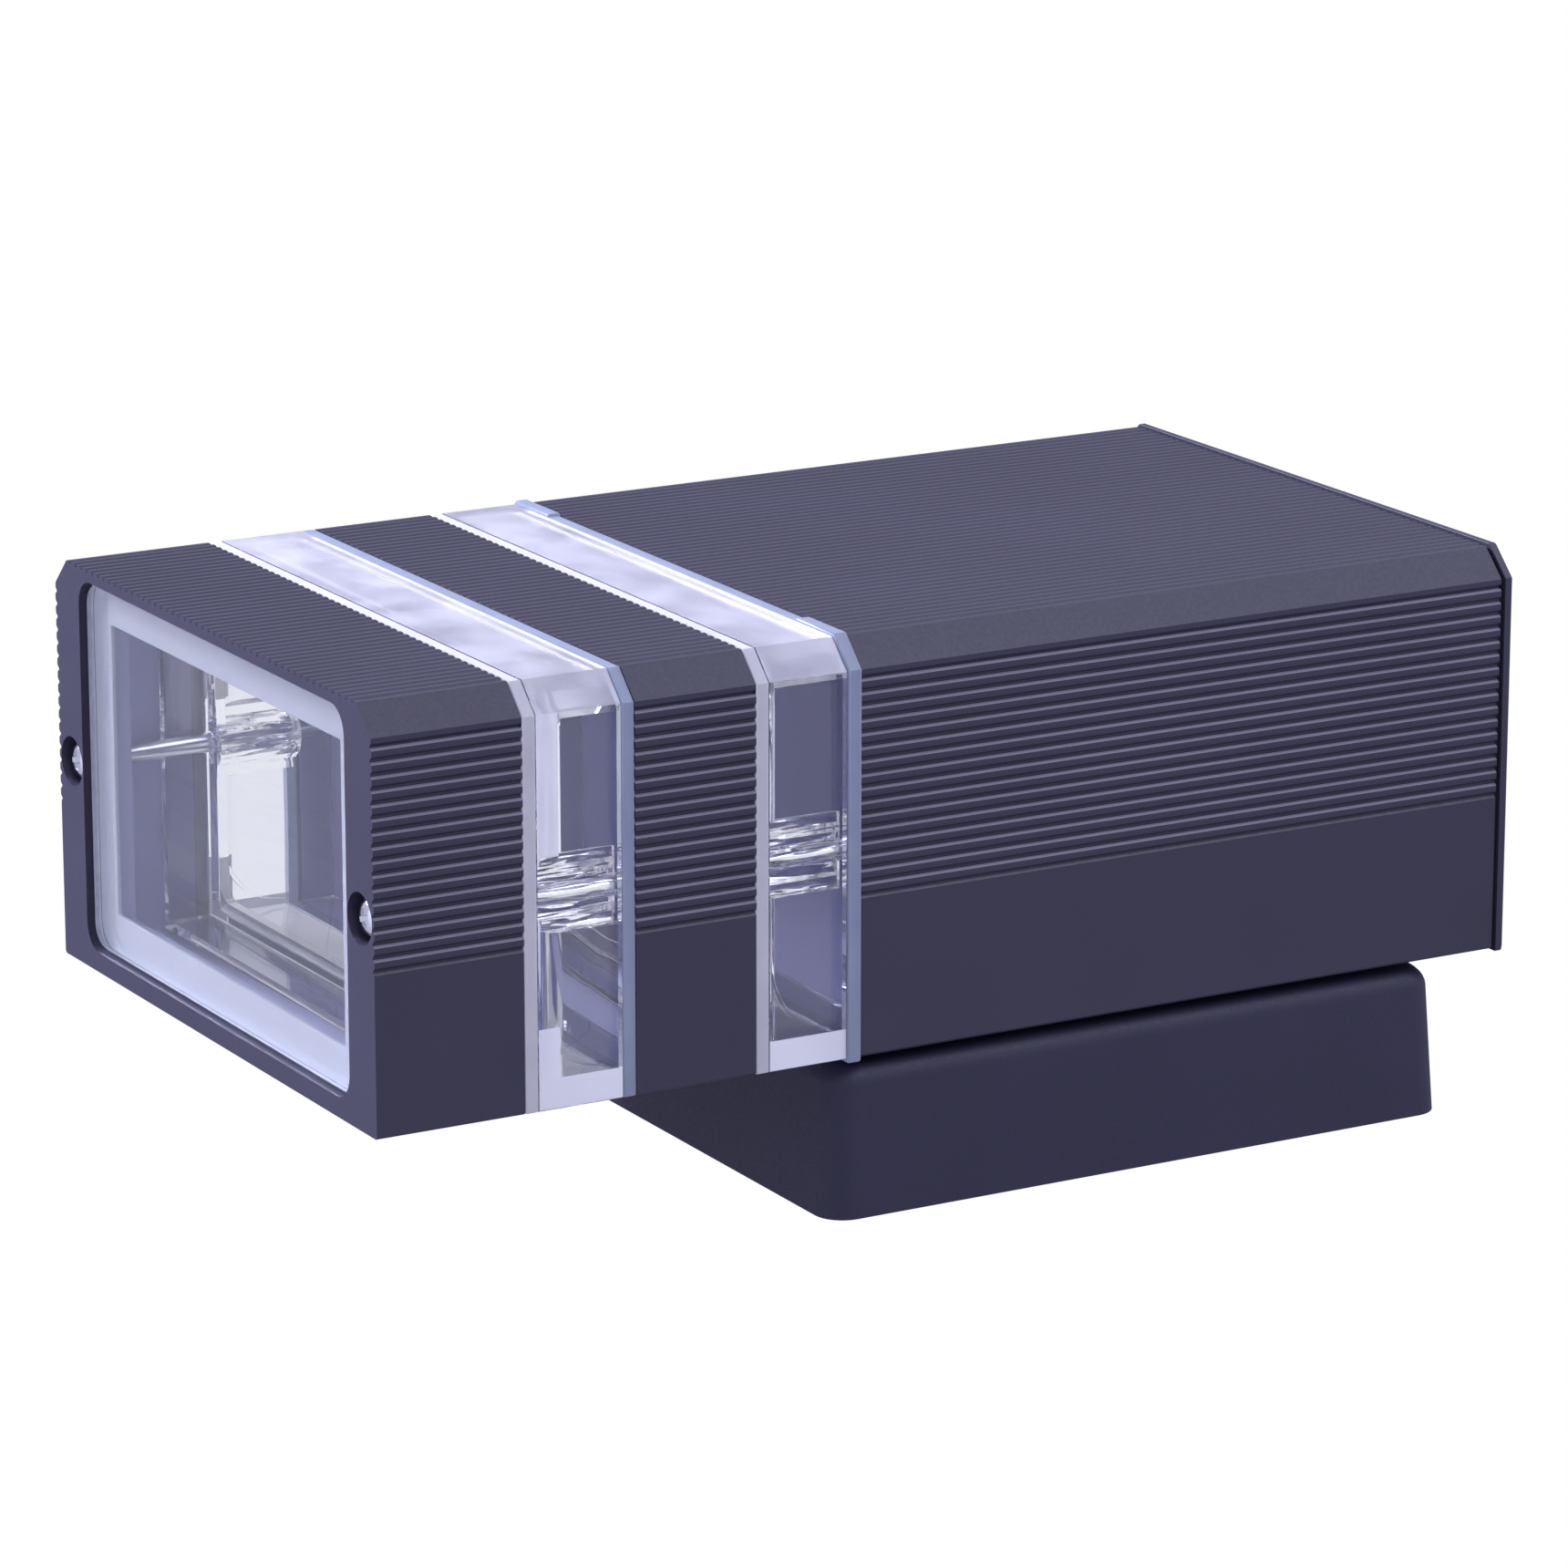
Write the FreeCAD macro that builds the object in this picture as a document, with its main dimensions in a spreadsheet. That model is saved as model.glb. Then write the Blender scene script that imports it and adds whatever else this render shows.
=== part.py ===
import FreeCAD, Part

import math
import os

import Sketcher
from FreeCAD import Placement, Rotation, Vector

# Wall luminaire: a long extruded head that lies along the wall on a square swivel box.
# Row frame, in millimetres: the wall is the plane y = 0, the lamp stands out to -Y, +Z is up
# the wall, the window looks down (-Z), and the swivel axis is the Y axis.

SHEET = "Dimensions"

# Driving dimensions: alias, value, what it is.
DIMENSIONS = [
    ("body_width", 105.0, "extruded section across the wall"),
    ("body_depth", 61.5, "extruded section away from the wall"),
    ("body_chamfer", 4.2, "45 degree bevel on the two outer long edges"),
    ("metal_wall", 2.0, "wall of the extruded section"),
    ("rib_pitch", 2.0, "centre to centre of the fine long grooves"),
    ("rib_depth", 0.4, "depth of a groove"),
    ("rib_mouth", 0.9, "width of a groove at the surface"),
    ("side_grooves", 17, "grooves on each side face"),
    ("side_margin", 1.2, "bevel edge to the first side groove"),
    ("front_length", 23.1, "front segment along the axis"),
    ("lower_band", 17.7, "window-side clear band, seals included"),
    ("middle_length", 19.3, "middle segment along the axis"),
    ("upper_band", 17.0, "housing-side clear band, seals included"),
    ("housing_length", 110.4, "main housing along the axis"),
    ("axis_station", 125.3, "window end to the swivel axis"),
    ("seal_width", 2.2, "flat silicone seal beside a clear ring"),
    ("seal_proud", 0.5, "how far the housing-side seal stands out of the section"),
    ("skirt_gap", 0.15, "clear ring's skirt to the metal wall"),
    ("skirt_wall", 1.5, "wall of the clear ring's skirt"),
    ("skirt_reach", 5.0, "how far a skirt goes into its neighbour"),
    ("flange_width", 1.5, "thickness of the clear ring's inner flange"),
    ("flange_height", 3.0, "how far that flange stands inwards"),
    ("flange_round", 12.0, "that flange's opening, radius of its outer corners"),
    ("flange_corner", 3.0, "the same opening, radius of its wall-side corners"),
    ("screw_inset", 4.3, "side face to the tie screw's axis"),
    ("boss_radius", 4.0, "clear boss round a tie screw"),
    ("boss_pad", 5.2, "side face to the inner side of the thickened wall at a boss"),
    ("boss_pad_width", 12.0, "that thickened wall"),
    ("boss_bore", 1.7, "clearance hole for a tie screw"),
    ("tie_radius", 1.5, "tie screw's shank, M3"),
    ("tie_length", 88.0, "tie screw under its head"),
    ("tie_head_radius", 2.8, "pan head"),
    ("tie_head_height", 2.1, "pan head"),
    ("counterbore_radius", 3.8, "recess for the pan head"),
    ("counterbore_depth", 3.2, "recess for the pan head"),
    ("tie_seal", 0.6, "rubber ring under the pan head"),
    ("thread_gap", 0.05, "a screw to the hole that it is threaded into"),
    ("front_plate", 8.5, "thickness of the front segment's face"),
    ("window_side", 8.3, "side face to the window recess"),
    ("window_outer", 1.8, "outer face to the window recess"),
    ("window_inner", 3.0, "wall-side face to the window recess"),
    ("window_round", 4.0, "corner radius of the window recess"),
    ("window_recess", 1.0, "face to the window pane"),
    ("window_gap", 0.1, "pane and gasket to the recess"),
    ("lip_inset", 4.6, "recess edge to the edge of the lip behind the gasket"),
    ("pane_thickness", 4.0, "window pane"),
    ("pane_bevel", 0.6, "ground edge round the pane's face"),
    ("gasket_thickness", 0.6, "silicone that beds the pane on the lip"),
    ("gasket_border", 6.15, "recess edge to the silicone's inner edge"),
    ("port_radius", 3.4, "screw port in the housing"),
    ("port_start_gap", 0.3, "end of the skirt to the screw port"),
    ("cap_gasket", 0.5, "rubber sheet under the end cap"),
    ("cap_gasket_inset", 0.3, "that sheet to the section's outline"),
    ("cap_thickness", 1.5, "end cap"),
    ("cap_proud", 0.4, "how far the end cap stands out of the section"),
    ("cap_bevel", 0.4, "bevel round the end cap"),
    ("cap_screw_length", 12.0, "end cap screw, M3 countersunk"),
    ("cap_head_radius", 2.7, "countersunk head"),
    ("box_side", 107.0, "wall box at the wall"),
    ("box_draft", 3.04, "draft of the wall box's sides, degrees"),
    ("box_height", 22.6, "wall box away from the wall"),
    ("box_wall", 2.2, "side walls of the wall box"),
    ("box_face", 2.5, "face of the wall box"),
    ("box_corner", 4.5, "upright corner radius of the wall box"),
    ("box_round", 3.0, "radius round the face of the wall box"),
    ("post_offset", 40.0, "wall box's screw posts from its centre lines"),
    ("post_radius", 4.5, "screw post"),
    ("post_bore", 2.15, "clearance hole in a post"),
    ("box_screw_radius", 2.0, "wall box screw, M4"),
    ("box_head_radius", 3.9, "its countersunk head"),
    ("box_head_depth", 2.2, "its countersunk head"),
    ("plate_side", 92.0, "wall plate"),
    ("plate_thickness", 1.5, "wall plate"),
    ("slot_spacing", 60.0, "wall fixing slots, centre to centre"),
    ("slot_length", 12.0, "wall fixing slot, end to end"),
    ("slot_radius", 2.6, "half the slot's width"),
    ("cable_offset", 26.0, "cable entry above the centre"),
    ("cable_hole", 9.0, "cable entry in the wall plate, radius"),
    ("grommet_bore", 5.0, "bore of the grommet"),
    ("grommet_flange", 12.0, "radius of the grommet's flange"),
    ("grommet_height", 2.0, "thickness of the grommet's flange"),
    ("foam_width", 3.0, "foam seal inside the box's rim"),
    ("foam_height", 3.0, "foam seal inside the box's rim"),
    ("foam_gap", 0.1, "foam seal to the box wall"),
    ("swivel_gap", 1.4, "wall box to head"),
    ("running_gap", 0.05, "running clearance at the swivel"),
    ("disc_radius", 16.0, "friction disc between box and head"),
    ("stem_radius", 5.0, "hollow stem, M10 x 1"),
    ("stem_bore", 3.5, "bore of the stem"),
    ("stem_hole_gap", 0.1, "stem to the head's own holes"),
    ("stem_end", 2.0, "stem beyond each nut"),
    ("nut_flats", 14.0, "stem nut across flats"),
    ("nut_height", 4.0, "stem nut"),
    ("washer_radius", 8.5, "washers under the stem nuts"),
    ("washer_thickness", 0.8, "washers under the stem nuts"),
    ("sleeve_radius", 3.2, "insulating sleeve round the leads"),
    ("sleeve_bore", 2.3, "insulating sleeve"),
    ("sleeve_end", 2.0, "sleeve beyond each end of the stem"),
    ("bracket_width", 24.0, "lampholder bracket"),
    ("bracket_thickness", 1.2, "lampholder bracket"),
    ("bracket_tail", 11.0, "bracket below the stem"),
    ("holder_top", 39.7, "top of the lampholder above the swivel axis"),
    ("holder_height", 24.0, "lampholder along the lamp's axis"),
    ("holder_width", 28.0, "lampholder"),
    ("holder_depth", 18.0, "lampholder"),
    ("holder_round", 8.0, "lampholder's upright corners"),
    ("lamp_axis", 33.0, "lamp axis from the head's back face"),
    ("pin_offset", 5.0, "GU10 pins, from the lamp axis"),
    ("pin_radius", 2.8, "GU10 pin hole"),
    ("pin_depth", 9.0, "GU10 pin hole"),
    ("holder_screw_offset", 9.5, "lampholder screws from the lamp axis"),
    ("holder_screw_length", 8.0, "lampholder screw in the holder"),
    ("lead_radius", 0.9, "insulated lead"),
    ("lead_spread", 1.12, "leads in the sleeve, from its axis"),
    ("block_length", 32.0, "terminal block"),
    ("block_depth", 14.0, "terminal block up the wall"),
    ("block_height", 11.0, "terminal block away from the wall"),
    ("block_offset", 29.0, "terminal block below the centre"),
    ("pole_pitch", 10.0, "terminals, centre to centre"),
    ("barrel_radius", 2.3, "brass terminal barrel"),
    ("barrel_bore", 1.3, "brass terminal barrel"),
    ("terminal_radius", 1.3, "terminal screw"),
    ("terminal_offset", 4.0, "terminal screws from the block's centre line"),
    ("earth_radius", 2.0, "earth screw, M4"),
    ("earth_head_radius", 3.8, "earth screw"),
    ("earth_head_height", 2.2, "earth screw"),
    ("earth_offset", 24.0, "box earth screw from the centre line"),
    ("recess_width", 0.9, "arm of a cross recess"),
    ("recess_depth", 1.2, "cross recess"),
]

UP_Y = Rotation(Vector(1, 0, 0), -90)      # turns a piece's own +Z to +Y, towards the wall
OUT_Y = Rotation(Vector(1, 0, 0), 90)      # turns a piece's own +Z to -Y, out of the wall
FLIP = Rotation(Vector(1, 0, 0), 180)      # turns a piece's own +Z to -Z
KEEP = Rotation()
OVERSHOOT = 1.0                            # how far a cutting tool runs past a face
GROOVE_OVERSHOOT = 0.1                     # the same for the fine grooves
VOLUME_TOLERANCE = 0.01                    # how near a lead's volume is to section times length
ARC_SHARE = 0.45                           # most of a run that one bend of a lead may use

# Routes of the leads, in lead radii.
BEND = 5.0                                 # radius of a lead's bends
TIGHT_BEND = 2.0                           # the same where there is little room
BESIDE = 4.0                               # lead to the bracket's edge
OVER = 6.0                                 # lead above the screw heads or below the block
INSERTED = 3.0                             # how far a lead goes into a terminal barrel
ABREAST = 2.2                              # leads side by side in the box, centre to centre
SLEEVE_ANGLE = math.radians(30)            # live and neutral below the sleeve's centre line


class Size:
    """A length that knows its present number and the sheet expression that gives it."""

    def __init__(self, number, text):
        self.number = float(number)
        self.text = text

    def __add__(self, other):
        other = as_size(other)
        return Size(self.number + other.number, f"({self.text} + {other.text})")

    def __sub__(self, other):
        other = as_size(other)
        return Size(self.number - other.number, f"({self.text} - {other.text})")

    def __mul__(self, other):
        other = as_size(other)
        return Size(self.number * other.number, f"({self.text} * {other.text})")

    def __truediv__(self, other):
        other = as_size(other)
        return Size(self.number / other.number, f"({self.text} / {other.text})")

    def __neg__(self):
        return Size(-self.number, f"(-1 * {self.text})")

    def whole(self):
        """The largest whole number not above this size."""
        return Size(math.floor(self.number), f"floor({self.text})")


def as_size(value):
    """A Size stays, and a plain number becomes one."""
    if isinstance(value, Size):
        return value
    return Size(value, f"({value})")


doc = FreeCAD.newDocument("wall_luminaire")
sheet = doc.addObject("Spreadsheet::Sheet", SHEET)
for row, (alias, amount, note) in enumerate(DIMENSIONS, start=1):
    sheet.set(f"A{row}", alias)
    sheet.set(f"B{row}", str(amount))
    sheet.setAlias(f"B{row}", alias)
    sheet.set(f"C{row}", note)
doc.recompute()

D = {alias: Size(sheet.get(alias), f"{SHEET}.{alias}") for alias, _, _ in DIMENSIONS}
NODES = {}


# ---- places that several pieces share ----

HALF_WIDTH = D["body_width"] / 2
BACK_Y = -(D["box_height"] + D["swivel_gap"])                  # back face of the head
FRONT_Z = -D["axis_station"]
LOWER_Z = FRONT_Z + D["front_length"]
MIDDLE_Z = LOWER_Z + D["lower_band"]
UPPER_Z = MIDDLE_Z + D["middle_length"]
HOUSING_Z = UPPER_Z + D["upper_band"]
CAP_GASKET_Z = HOUSING_Z + D["housing_length"]
CAP_Z = CAP_GASKET_Z + D["cap_gasket"]
SCREW_X = HALF_WIDTH - D["screw_inset"]
SCREW_Y = -D["body_depth"] / 2                                 # in the head's own frame
SKIRT_INSET = D["metal_wall"] + D["skirt_gap"]
RING_INSET = SKIRT_INSET + D["skirt_wall"]
SKIRT_END = D["seal_width"] + D["skirt_reach"]
PORT_START = D["skirt_reach"] + D["port_start_gap"]
HEAD_INNER_Y = BACK_Y - D["metal_wall"]
FOOT_Y = HEAD_INNER_Y - D["bracket_thickness"]
HEAD_NUT_Y = FOOT_Y - D["washer_thickness"]
STEM_OUT_Y = HEAD_NUT_Y - D["nut_height"] - D["stem_end"]
BOX_INNER_Y = -(D["box_height"] - D["box_face"])
BOX_WASHER_Y = BOX_INNER_Y + D["running_gap"]
BOX_NUT_Y = BOX_WASHER_Y + D["washer_thickness"]
STEM_IN_Y = BOX_NUT_Y + D["nut_height"] + D["stem_end"]
SLEEVE_OUT_Y = STEM_OUT_Y - D["sleeve_end"]
SLEEVE_IN_Y = STEM_IN_Y + D["sleeve_end"]
STEM_HOLE = D["stem_radius"] + D["stem_hole_gap"]
LAMP_Y = BACK_Y - D["lamp_axis"]
PLATE_Y = -D["plate_thickness"]
EARTH_Z = -D["earth_offset"]


# ---- helpers: binding, bodies, sketches and features ----

def bind(item, path, size):
    """Ties a property to the sheet."""
    item.setExpression(path, as_size(size).text)


def new_body(name, x=0, y=0, z=0):
    """A PartDesign body whose Placement is tied to the sheet, kept as a node."""
    body = doc.addObject("PartDesign::Body", name)
    body.Label = name
    for axis, size in (("x", x), ("y", y), ("z", z)):
        bind(body, f"Placement.Base.{axis}", size)
    NODES[name] = body
    return body


def origin_plane(body, role):
    """One of a body's own origin planes."""
    return next(item for item in body.Origin.OriginFeatures if item.Role == role)


def new_sketch(body, name, role, offset):
    """An empty sketch on an origin plane, moved along its normal."""
    sketch = body.newObject("Sketcher::SketchObject", name)
    sketch.AttachmentSupport = [(origin_plane(body, role), "")]
    sketch.MapMode = "FlatFace"
    bind(sketch, "AttachmentOffset.Base.z", offset)
    return sketch


def pin_point(sketch, geometry, point, x, y, label):
    """Fixes a sketch point's two distances from the origin to the sheet."""
    for kind, size in (("DistanceX", x), ("DistanceY", y)):
        size = as_size(size)
        index = sketch.addConstraint(
            Sketcher.Constraint(kind, -1, 1, geometry, point, size.number))
        name = f"{label}{kind[-1]}"
        sketch.renameConstraint(index, name)
        sketch.setExpression(f"Constraints.{name}", size.text)


def polygon(body, name, corners, role="XY_Plane", offset=0):
    """A closed sketch of straight sides through the given corners."""
    sketch = new_sketch(body, name, role, offset)
    corners = [(as_size(x), as_size(y)) for x, y in corners]
    spots = [Vector(x.number, y.number, 0) for x, y in corners]
    count = len(spots)
    for i in range(count):
        sketch.addGeometry(Part.LineSegment(spots[i], spots[(i + 1) % count]), False)
    for i in range(count):
        sketch.addConstraint(Sketcher.Constraint("Coincident", i, 2, (i + 1) % count, 1))
    for i, (x, y) in enumerate(corners):
        pin_point(sketch, i, 1, x, y, f"corner{i}")
    return sketch


def rectangle(body, name, x0, x1, y0, y1, role="XY_Plane", offset=0):
    """A closed rectangular sketch."""
    corners = [(x0, y0), (x1, y0), (x1, y1), (x0, y1)]
    return polygon(body, name, corners, role, offset)


def pad(body, name, sketch, length, taper=None):
    """Adds the sketch's area along its normal."""
    feature = body.newObject("PartDesign::Pad", name)
    feature.Profile = sketch
    bind(feature, "Length", length)
    if taper is not None:
        bind(feature, "TaperAngle", taper)
    return feature


def pocket(body, name, sketch, length, taper=None):
    """Cuts the sketch's area along its normal, and checks that it removed something."""
    doc.recompute()
    before = body.Shape.Volume
    feature = body.newObject("PartDesign::Pocket", name)
    feature.Profile = sketch
    feature.Reversed = True
    bind(feature, "Length", length)
    if taper is not None:
        bind(feature, "TaperAngle", taper)
    doc.recompute()
    if body.Shape.Volume >= before:
        raise RuntimeError(f"{name} removed nothing")
    return feature


def primitive(body, kind, name, sizes, x, y, z, role="XY_Plane"):
    """An additive or subtractive primitive on one of the body's origin planes."""
    feature = body.newObject(f"PartDesign::{kind}", name)
    feature.AttachmentSupport = [(origin_plane(body, role), "")]
    feature.MapMode = "FlatFace"
    for path, size in sizes.items():
        bind(feature, path, size)
    for axis, size in (("x", x), ("y", y), ("z", z)):
        bind(feature, f"AttachmentOffset.Base.{axis}", size)
    return feature


def rod(body, name, x, y, z, radius, length, role="XY_Plane"):
    """A round bar added to a body."""
    sizes = {"Radius": radius, "Height": length}
    return primitive(body, "AdditiveCylinder", name, sizes, x, y, z, role)


def bore(body, name, x, y, z, radius, length, role="XY_Plane"):
    """A round hole cut in a body."""
    sizes = {"Radius": radius, "Height": length}
    return primitive(body, "SubtractiveCylinder", name, sizes, x, y, z, role)


def bar(body, name, x, y, z, width, depth, length, role="XY_Plane"):
    """A rectangular bar added to a body, from its low corner."""
    sizes = {"Length": width, "Width": depth, "Height": length}
    return primitive(body, "AdditiveBox", name, sizes, x, y, z, role)


def countersink(body, name, x, y, z, small, large, depth, role="XY_Plane"):
    """A conical cut that widens along the plane's normal."""
    sizes = {"Radius1": small, "Radius2": large, "Height": depth}
    return primitive(body, "SubtractiveCone", name, sizes, x, y, z, role)


def fillet(body, name, radius, chosen):
    """Rounds the body's edges for which chosen(edge) is true."""
    doc.recompute()
    base = body.Tip
    names = [f"Edge{i}" for i, edge in enumerate(base.Shape.Edges, start=1) if chosen(edge)]
    feature = body.newObject("PartDesign::Fillet", name)
    feature.Base = (base, names)
    bind(feature, "Radius", radius)
    return feature


def near(first, second):
    """Whether two lengths are the same to a thousandth."""
    return abs(first - second) < 0.001


def edge_between(edge, axis, low, high):
    """Whether a straight edge runs along an axis from low to high."""
    ends = sorted(getattr(vertex.Point, axis) for vertex in edge.Vertexes)
    return len(ends) == 2 and near(ends[0], low) and near(ends[1], high)


def section(inset):
    """Corners of the head's section, drawn in by inset; a negative inset draws it out."""
    inset = as_size(inset)
    across = HALF_WIDTH - inset
    outer = D["body_depth"] - inset
    bevel = D["body_chamfer"] - inset * (2 - math.sqrt(2))
    return [
        (-across, -inset), (-across, -(outer - bevel)), (-(across - bevel), -outer),
        (across - bevel, -outer), (across, -(outer - bevel)), (across, -inset),
    ]


def section_pad(body, name, inset, start, length):
    """Adds a stretch of the head's section."""
    return pad(body, name, polygon(body, f"{name}_outline", section(inset), offset=start), length)


def section_pocket(body, name, inset, start, length):
    """Cuts a stretch of the head's section."""
    outline = polygon(body, f"{name}_outline", section(inset), offset=start)
    return pocket(body, name, outline, length)


def groove_row(body, name, mouth, tip, axis, pitch, count, length, reverse):
    """A row of fine V grooves: mouth is two corners above the surface, tip the bottom."""
    outline = polygon(body, f"{name}_outline", [mouth[0], tip, mouth[1]], offset=-OVERSHOOT)
    first = pocket(body, f"{name}_first", outline, length + 2 * OVERSHOOT)
    row = body.newObject("PartDesign::LinearPattern", name)
    row.Originals = [first]
    row.Direction = (outline, [axis])
    row.Reversed = reverse
    bind(row, "Length", pitch * (count - 1))
    bind(row, "Occurrences", count)
    body.Tip = row
    return row


def cut_grooves(body, name, length):
    """The fine long grooves of the outer face and of both sides."""
    half = D["rib_mouth"] / 2
    pitch = D["rib_pitch"]
    flat = HALF_WIDTH - D["body_chamfer"]
    across = (flat * 2 / pitch).whole()
    start = -(pitch * (across - 1) / 2)
    above = -(D["body_depth"] + GROOVE_OVERSHOOT)
    bottom = -(D["body_depth"] - D["rib_depth"])
    groove_row(body, f"{name}_face_grooves", [(start - half, above), (start + half, above)],
               (start, bottom), "H_Axis", pitch, across, length, False)
    top = -(D["body_depth"] - D["body_chamfer"] - D["side_margin"])
    for side, word in ((-1, "far"), (1, "near")):
        surface = (HALF_WIDTH + GROOVE_OVERSHOOT) * side
        groove_row(body, f"{name}_{word}_grooves",
                   [(surface, top - half), (surface, top + half)],
                   ((HALF_WIDTH - D["rib_depth"]) * side, top), "V_Axis", pitch,
                   D["side_grooves"], length, False)


# ---- helpers: Part primitives for small turned and pressed pieces ----

def part_object(kind, name, sizes, x=0, y=0, z=0, turn=KEEP):
    """A Part primitive whose sizes and place are tied to the sheet."""
    item = doc.addObject(kind, name)
    item.Placement = Placement(Vector(), turn)
    for path, size in sizes.items():
        bind(item, path, size)
    for axis, size in (("x", x), ("y", y), ("z", z)):
        bind(item, f"Placement.Base.{axis}", size)
    return item


def cylinder(name, radius, height, **place):
    """An upright round bar."""
    return part_object("Part::Cylinder", name, {"Radius": radius, "Height": height}, **place)


def cut(name, base, tools):
    """A base with each tool taken away in turn."""
    for number, tool in enumerate(tools, start=1):
        last = number == len(tools)
        result = doc.addObject("Part::Cut", name if last else f"{name}_cut{number}")
        result.Base = base
        result.Tool = tool
        base = result
    return base


def fuse(name, items):
    """Several touching items as one solid."""
    result = doc.addObject("Part::MultiFuse", name)
    result.Shapes = items
    return result


def place(item, x=0, y=0, z=0, turn=KEEP):
    """Puts a finished item where the sheet says."""
    item.Placement = Placement(Vector(), turn)
    for axis, size in (("x", x), ("y", y), ("z", z)):
        bind(item, f"Placement.Base.{axis}", size)
    return item


def node(name, item):
    """Keeps an item as a node under its own label."""
    item.Label = name
    NODES[name] = item
    return item


def group(name, items):
    """Separate solids that share one node."""
    result = doc.addObject("Part::Compound", name)
    result.Links = items
    return node(name, result)


def tube(name, outer, inner, length, y, turn=OUT_Y):
    """A ring or tube on the swivel axis."""
    body = cylinder(f"{name}_outside", outer, length)
    hole = cylinder(f"{name}_hole", inner, length + 2 * OVERSHOOT, z=-OVERSHOOT)
    return node(name, place(cut(f"{name}_ring", body, [hole]), y=y, turn=turn))


def cross_recess(name, head_top, radius):
    """The two arms of a cross recess, as tools, sunk below head_top along +Z."""
    arms = []
    for number, turn in enumerate((KEEP, Rotation(Vector(0, 0, 1), 90)), start=1):
        arm = doc.addObject("Part::Box", f"{name}_arm{number}")
        bind(arm, "Length", radius)
        bind(arm, "Width", D["recess_width"])
        bind(arm, "Height", D["recess_depth"] + OVERSHOOT)
        corner = turn.multVec(Vector(-0.5, -0.5, 0))
        arm.Placement = Placement(Vector(), turn)
        along_x = radius if number == 1 else D["recess_width"]
        along_y = D["recess_width"] if number == 1 else radius
        bind(arm, "Placement.Base.x", along_x / 2 * round(math.copysign(1, corner.x)))
        bind(arm, "Placement.Base.y", along_y / 2 * round(math.copysign(1, corner.y)))
        bind(arm, "Placement.Base.z", -(as_size(head_top)) - OVERSHOOT)
        arms.append(arm)
    return arms


def pan_screw(name, head_radius, head_height, radius, length):
    """A pan-head screw: its head below z = 0 and its shank above."""
    head = cylinder(f"{name}_head", head_radius, head_height, z=-head_height)
    shank = cylinder(f"{name}_shank", radius, length)
    whole = fuse(f"{name}_whole", [head, shank])
    return cut(f"{name}_screw", whole, cross_recess(name, head_height, head_radius))


def flat_screw(name, head_radius, head_depth, radius, length):
    """A countersunk screw: its head's top at z = 0 and its shank above."""
    sizes = {"Radius1": head_radius, "Radius2": radius, "Height": head_depth}
    head = part_object("Part::Cone", f"{name}_head", sizes)
    shank = cylinder(f"{name}_shank", radius, length)
    whole = fuse(f"{name}_whole", [head, shank])
    return cut(f"{name}_screw", whole, cross_recess(name, 0, head_radius))


def hex_nut(name, bore_radius, y):
    """A stem nut on the swivel axis, from y outwards."""
    across_corners = D["nut_flats"] / math.sqrt(3)
    prism = part_object("Part::Prism", f"{name}_hexagon",
                        {"Circumradius": across_corners, "Height": D["nut_height"]})
    prism.Polygon = 6
    hole = cylinder(f"{name}_hole", bore_radius, D["nut_height"] + 2 * OVERSHOOT, z=-OVERSHOOT)
    return node(name, place(cut(f"{name}_nut", prism, [hole]), y=y, turn=OUT_Y))


# ---- the front stack: frame, window, clear rings, middle segment ----

def window_edge(inset):
    """Low x, high x, low y and high y of the window recess, drawn in by inset."""
    side = HALF_WIDTH - D["window_side"] - inset
    return (-side, side, -(D["body_depth"] - D["window_outer"] - inset),
            -(D["window_inner"] + inset))


def build_front_frame():
    """The front segment: a section with a thick face, a window recess and screw seats."""
    name = "front_frame"
    body = new_body(name, y=BACK_Y, z=FRONT_Z)
    section_pad(body, f"{name}_block", 0, 0, D["front_length"])
    section_pocket(body, f"{name}_hollow", D["metal_wall"], D["front_plate"],
                   D["front_length"] - D["front_plate"] + OVERSHOOT)
    seat = D["window_recess"] + D["pane_thickness"] + D["gasket_thickness"]
    outline = rectangle(body, f"{name}_recess_outline", *window_edge(as_size(0)),
                        offset=-OVERSHOOT)
    pocket(body, f"{name}_recess", outline, seat + OVERSHOOT)
    low_y, high_y = (edge.number for edge in window_edge(as_size(0))[2:])
    fillet(body, f"{name}_recess_round", D["window_round"], lambda edge: (
        edge_between(edge, "z", 0, seat.number)
        and near(abs(edge.Vertexes[0].Point.x), window_edge(as_size(0))[1].number)
        and (near(edge.Vertexes[0].Point.y, low_y) or near(edge.Vertexes[0].Point.y, high_y))))
    opening = rectangle(body, f"{name}_opening_outline", *window_edge(D["lip_inset"]))
    pocket(body, f"{name}_opening", opening, D["front_plate"] + OVERSHOOT)
    for side, word in ((-1, "far"), (1, "near")):
        bore(body, f"{name}_{word}_seat", SCREW_X * side, SCREW_Y, -OVERSHOOT,
             D["counterbore_radius"], D["counterbore_depth"] + OVERSHOOT)
        bore(body, f"{name}_{word}_hole", SCREW_X * side, SCREW_Y, 0, D["boss_bore"],
             D["front_plate"] + OVERSHOOT)
    cut_grooves(body, name, D["front_length"])


def window_block(name, start, thickness):
    """A plate that fills the window recess, with its corners rounded."""
    body = new_body(name, y=BACK_Y, z=start)
    outline = rectangle(body, f"{name}_outline", *window_edge(D["window_gap"]))
    pad(body, f"{name}_block", outline, thickness)
    fillet(body, f"{name}_round", D["window_round"] - D["window_gap"],
           lambda edge: edge_between(edge, "z", 0, thickness.number))
    return body


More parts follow.
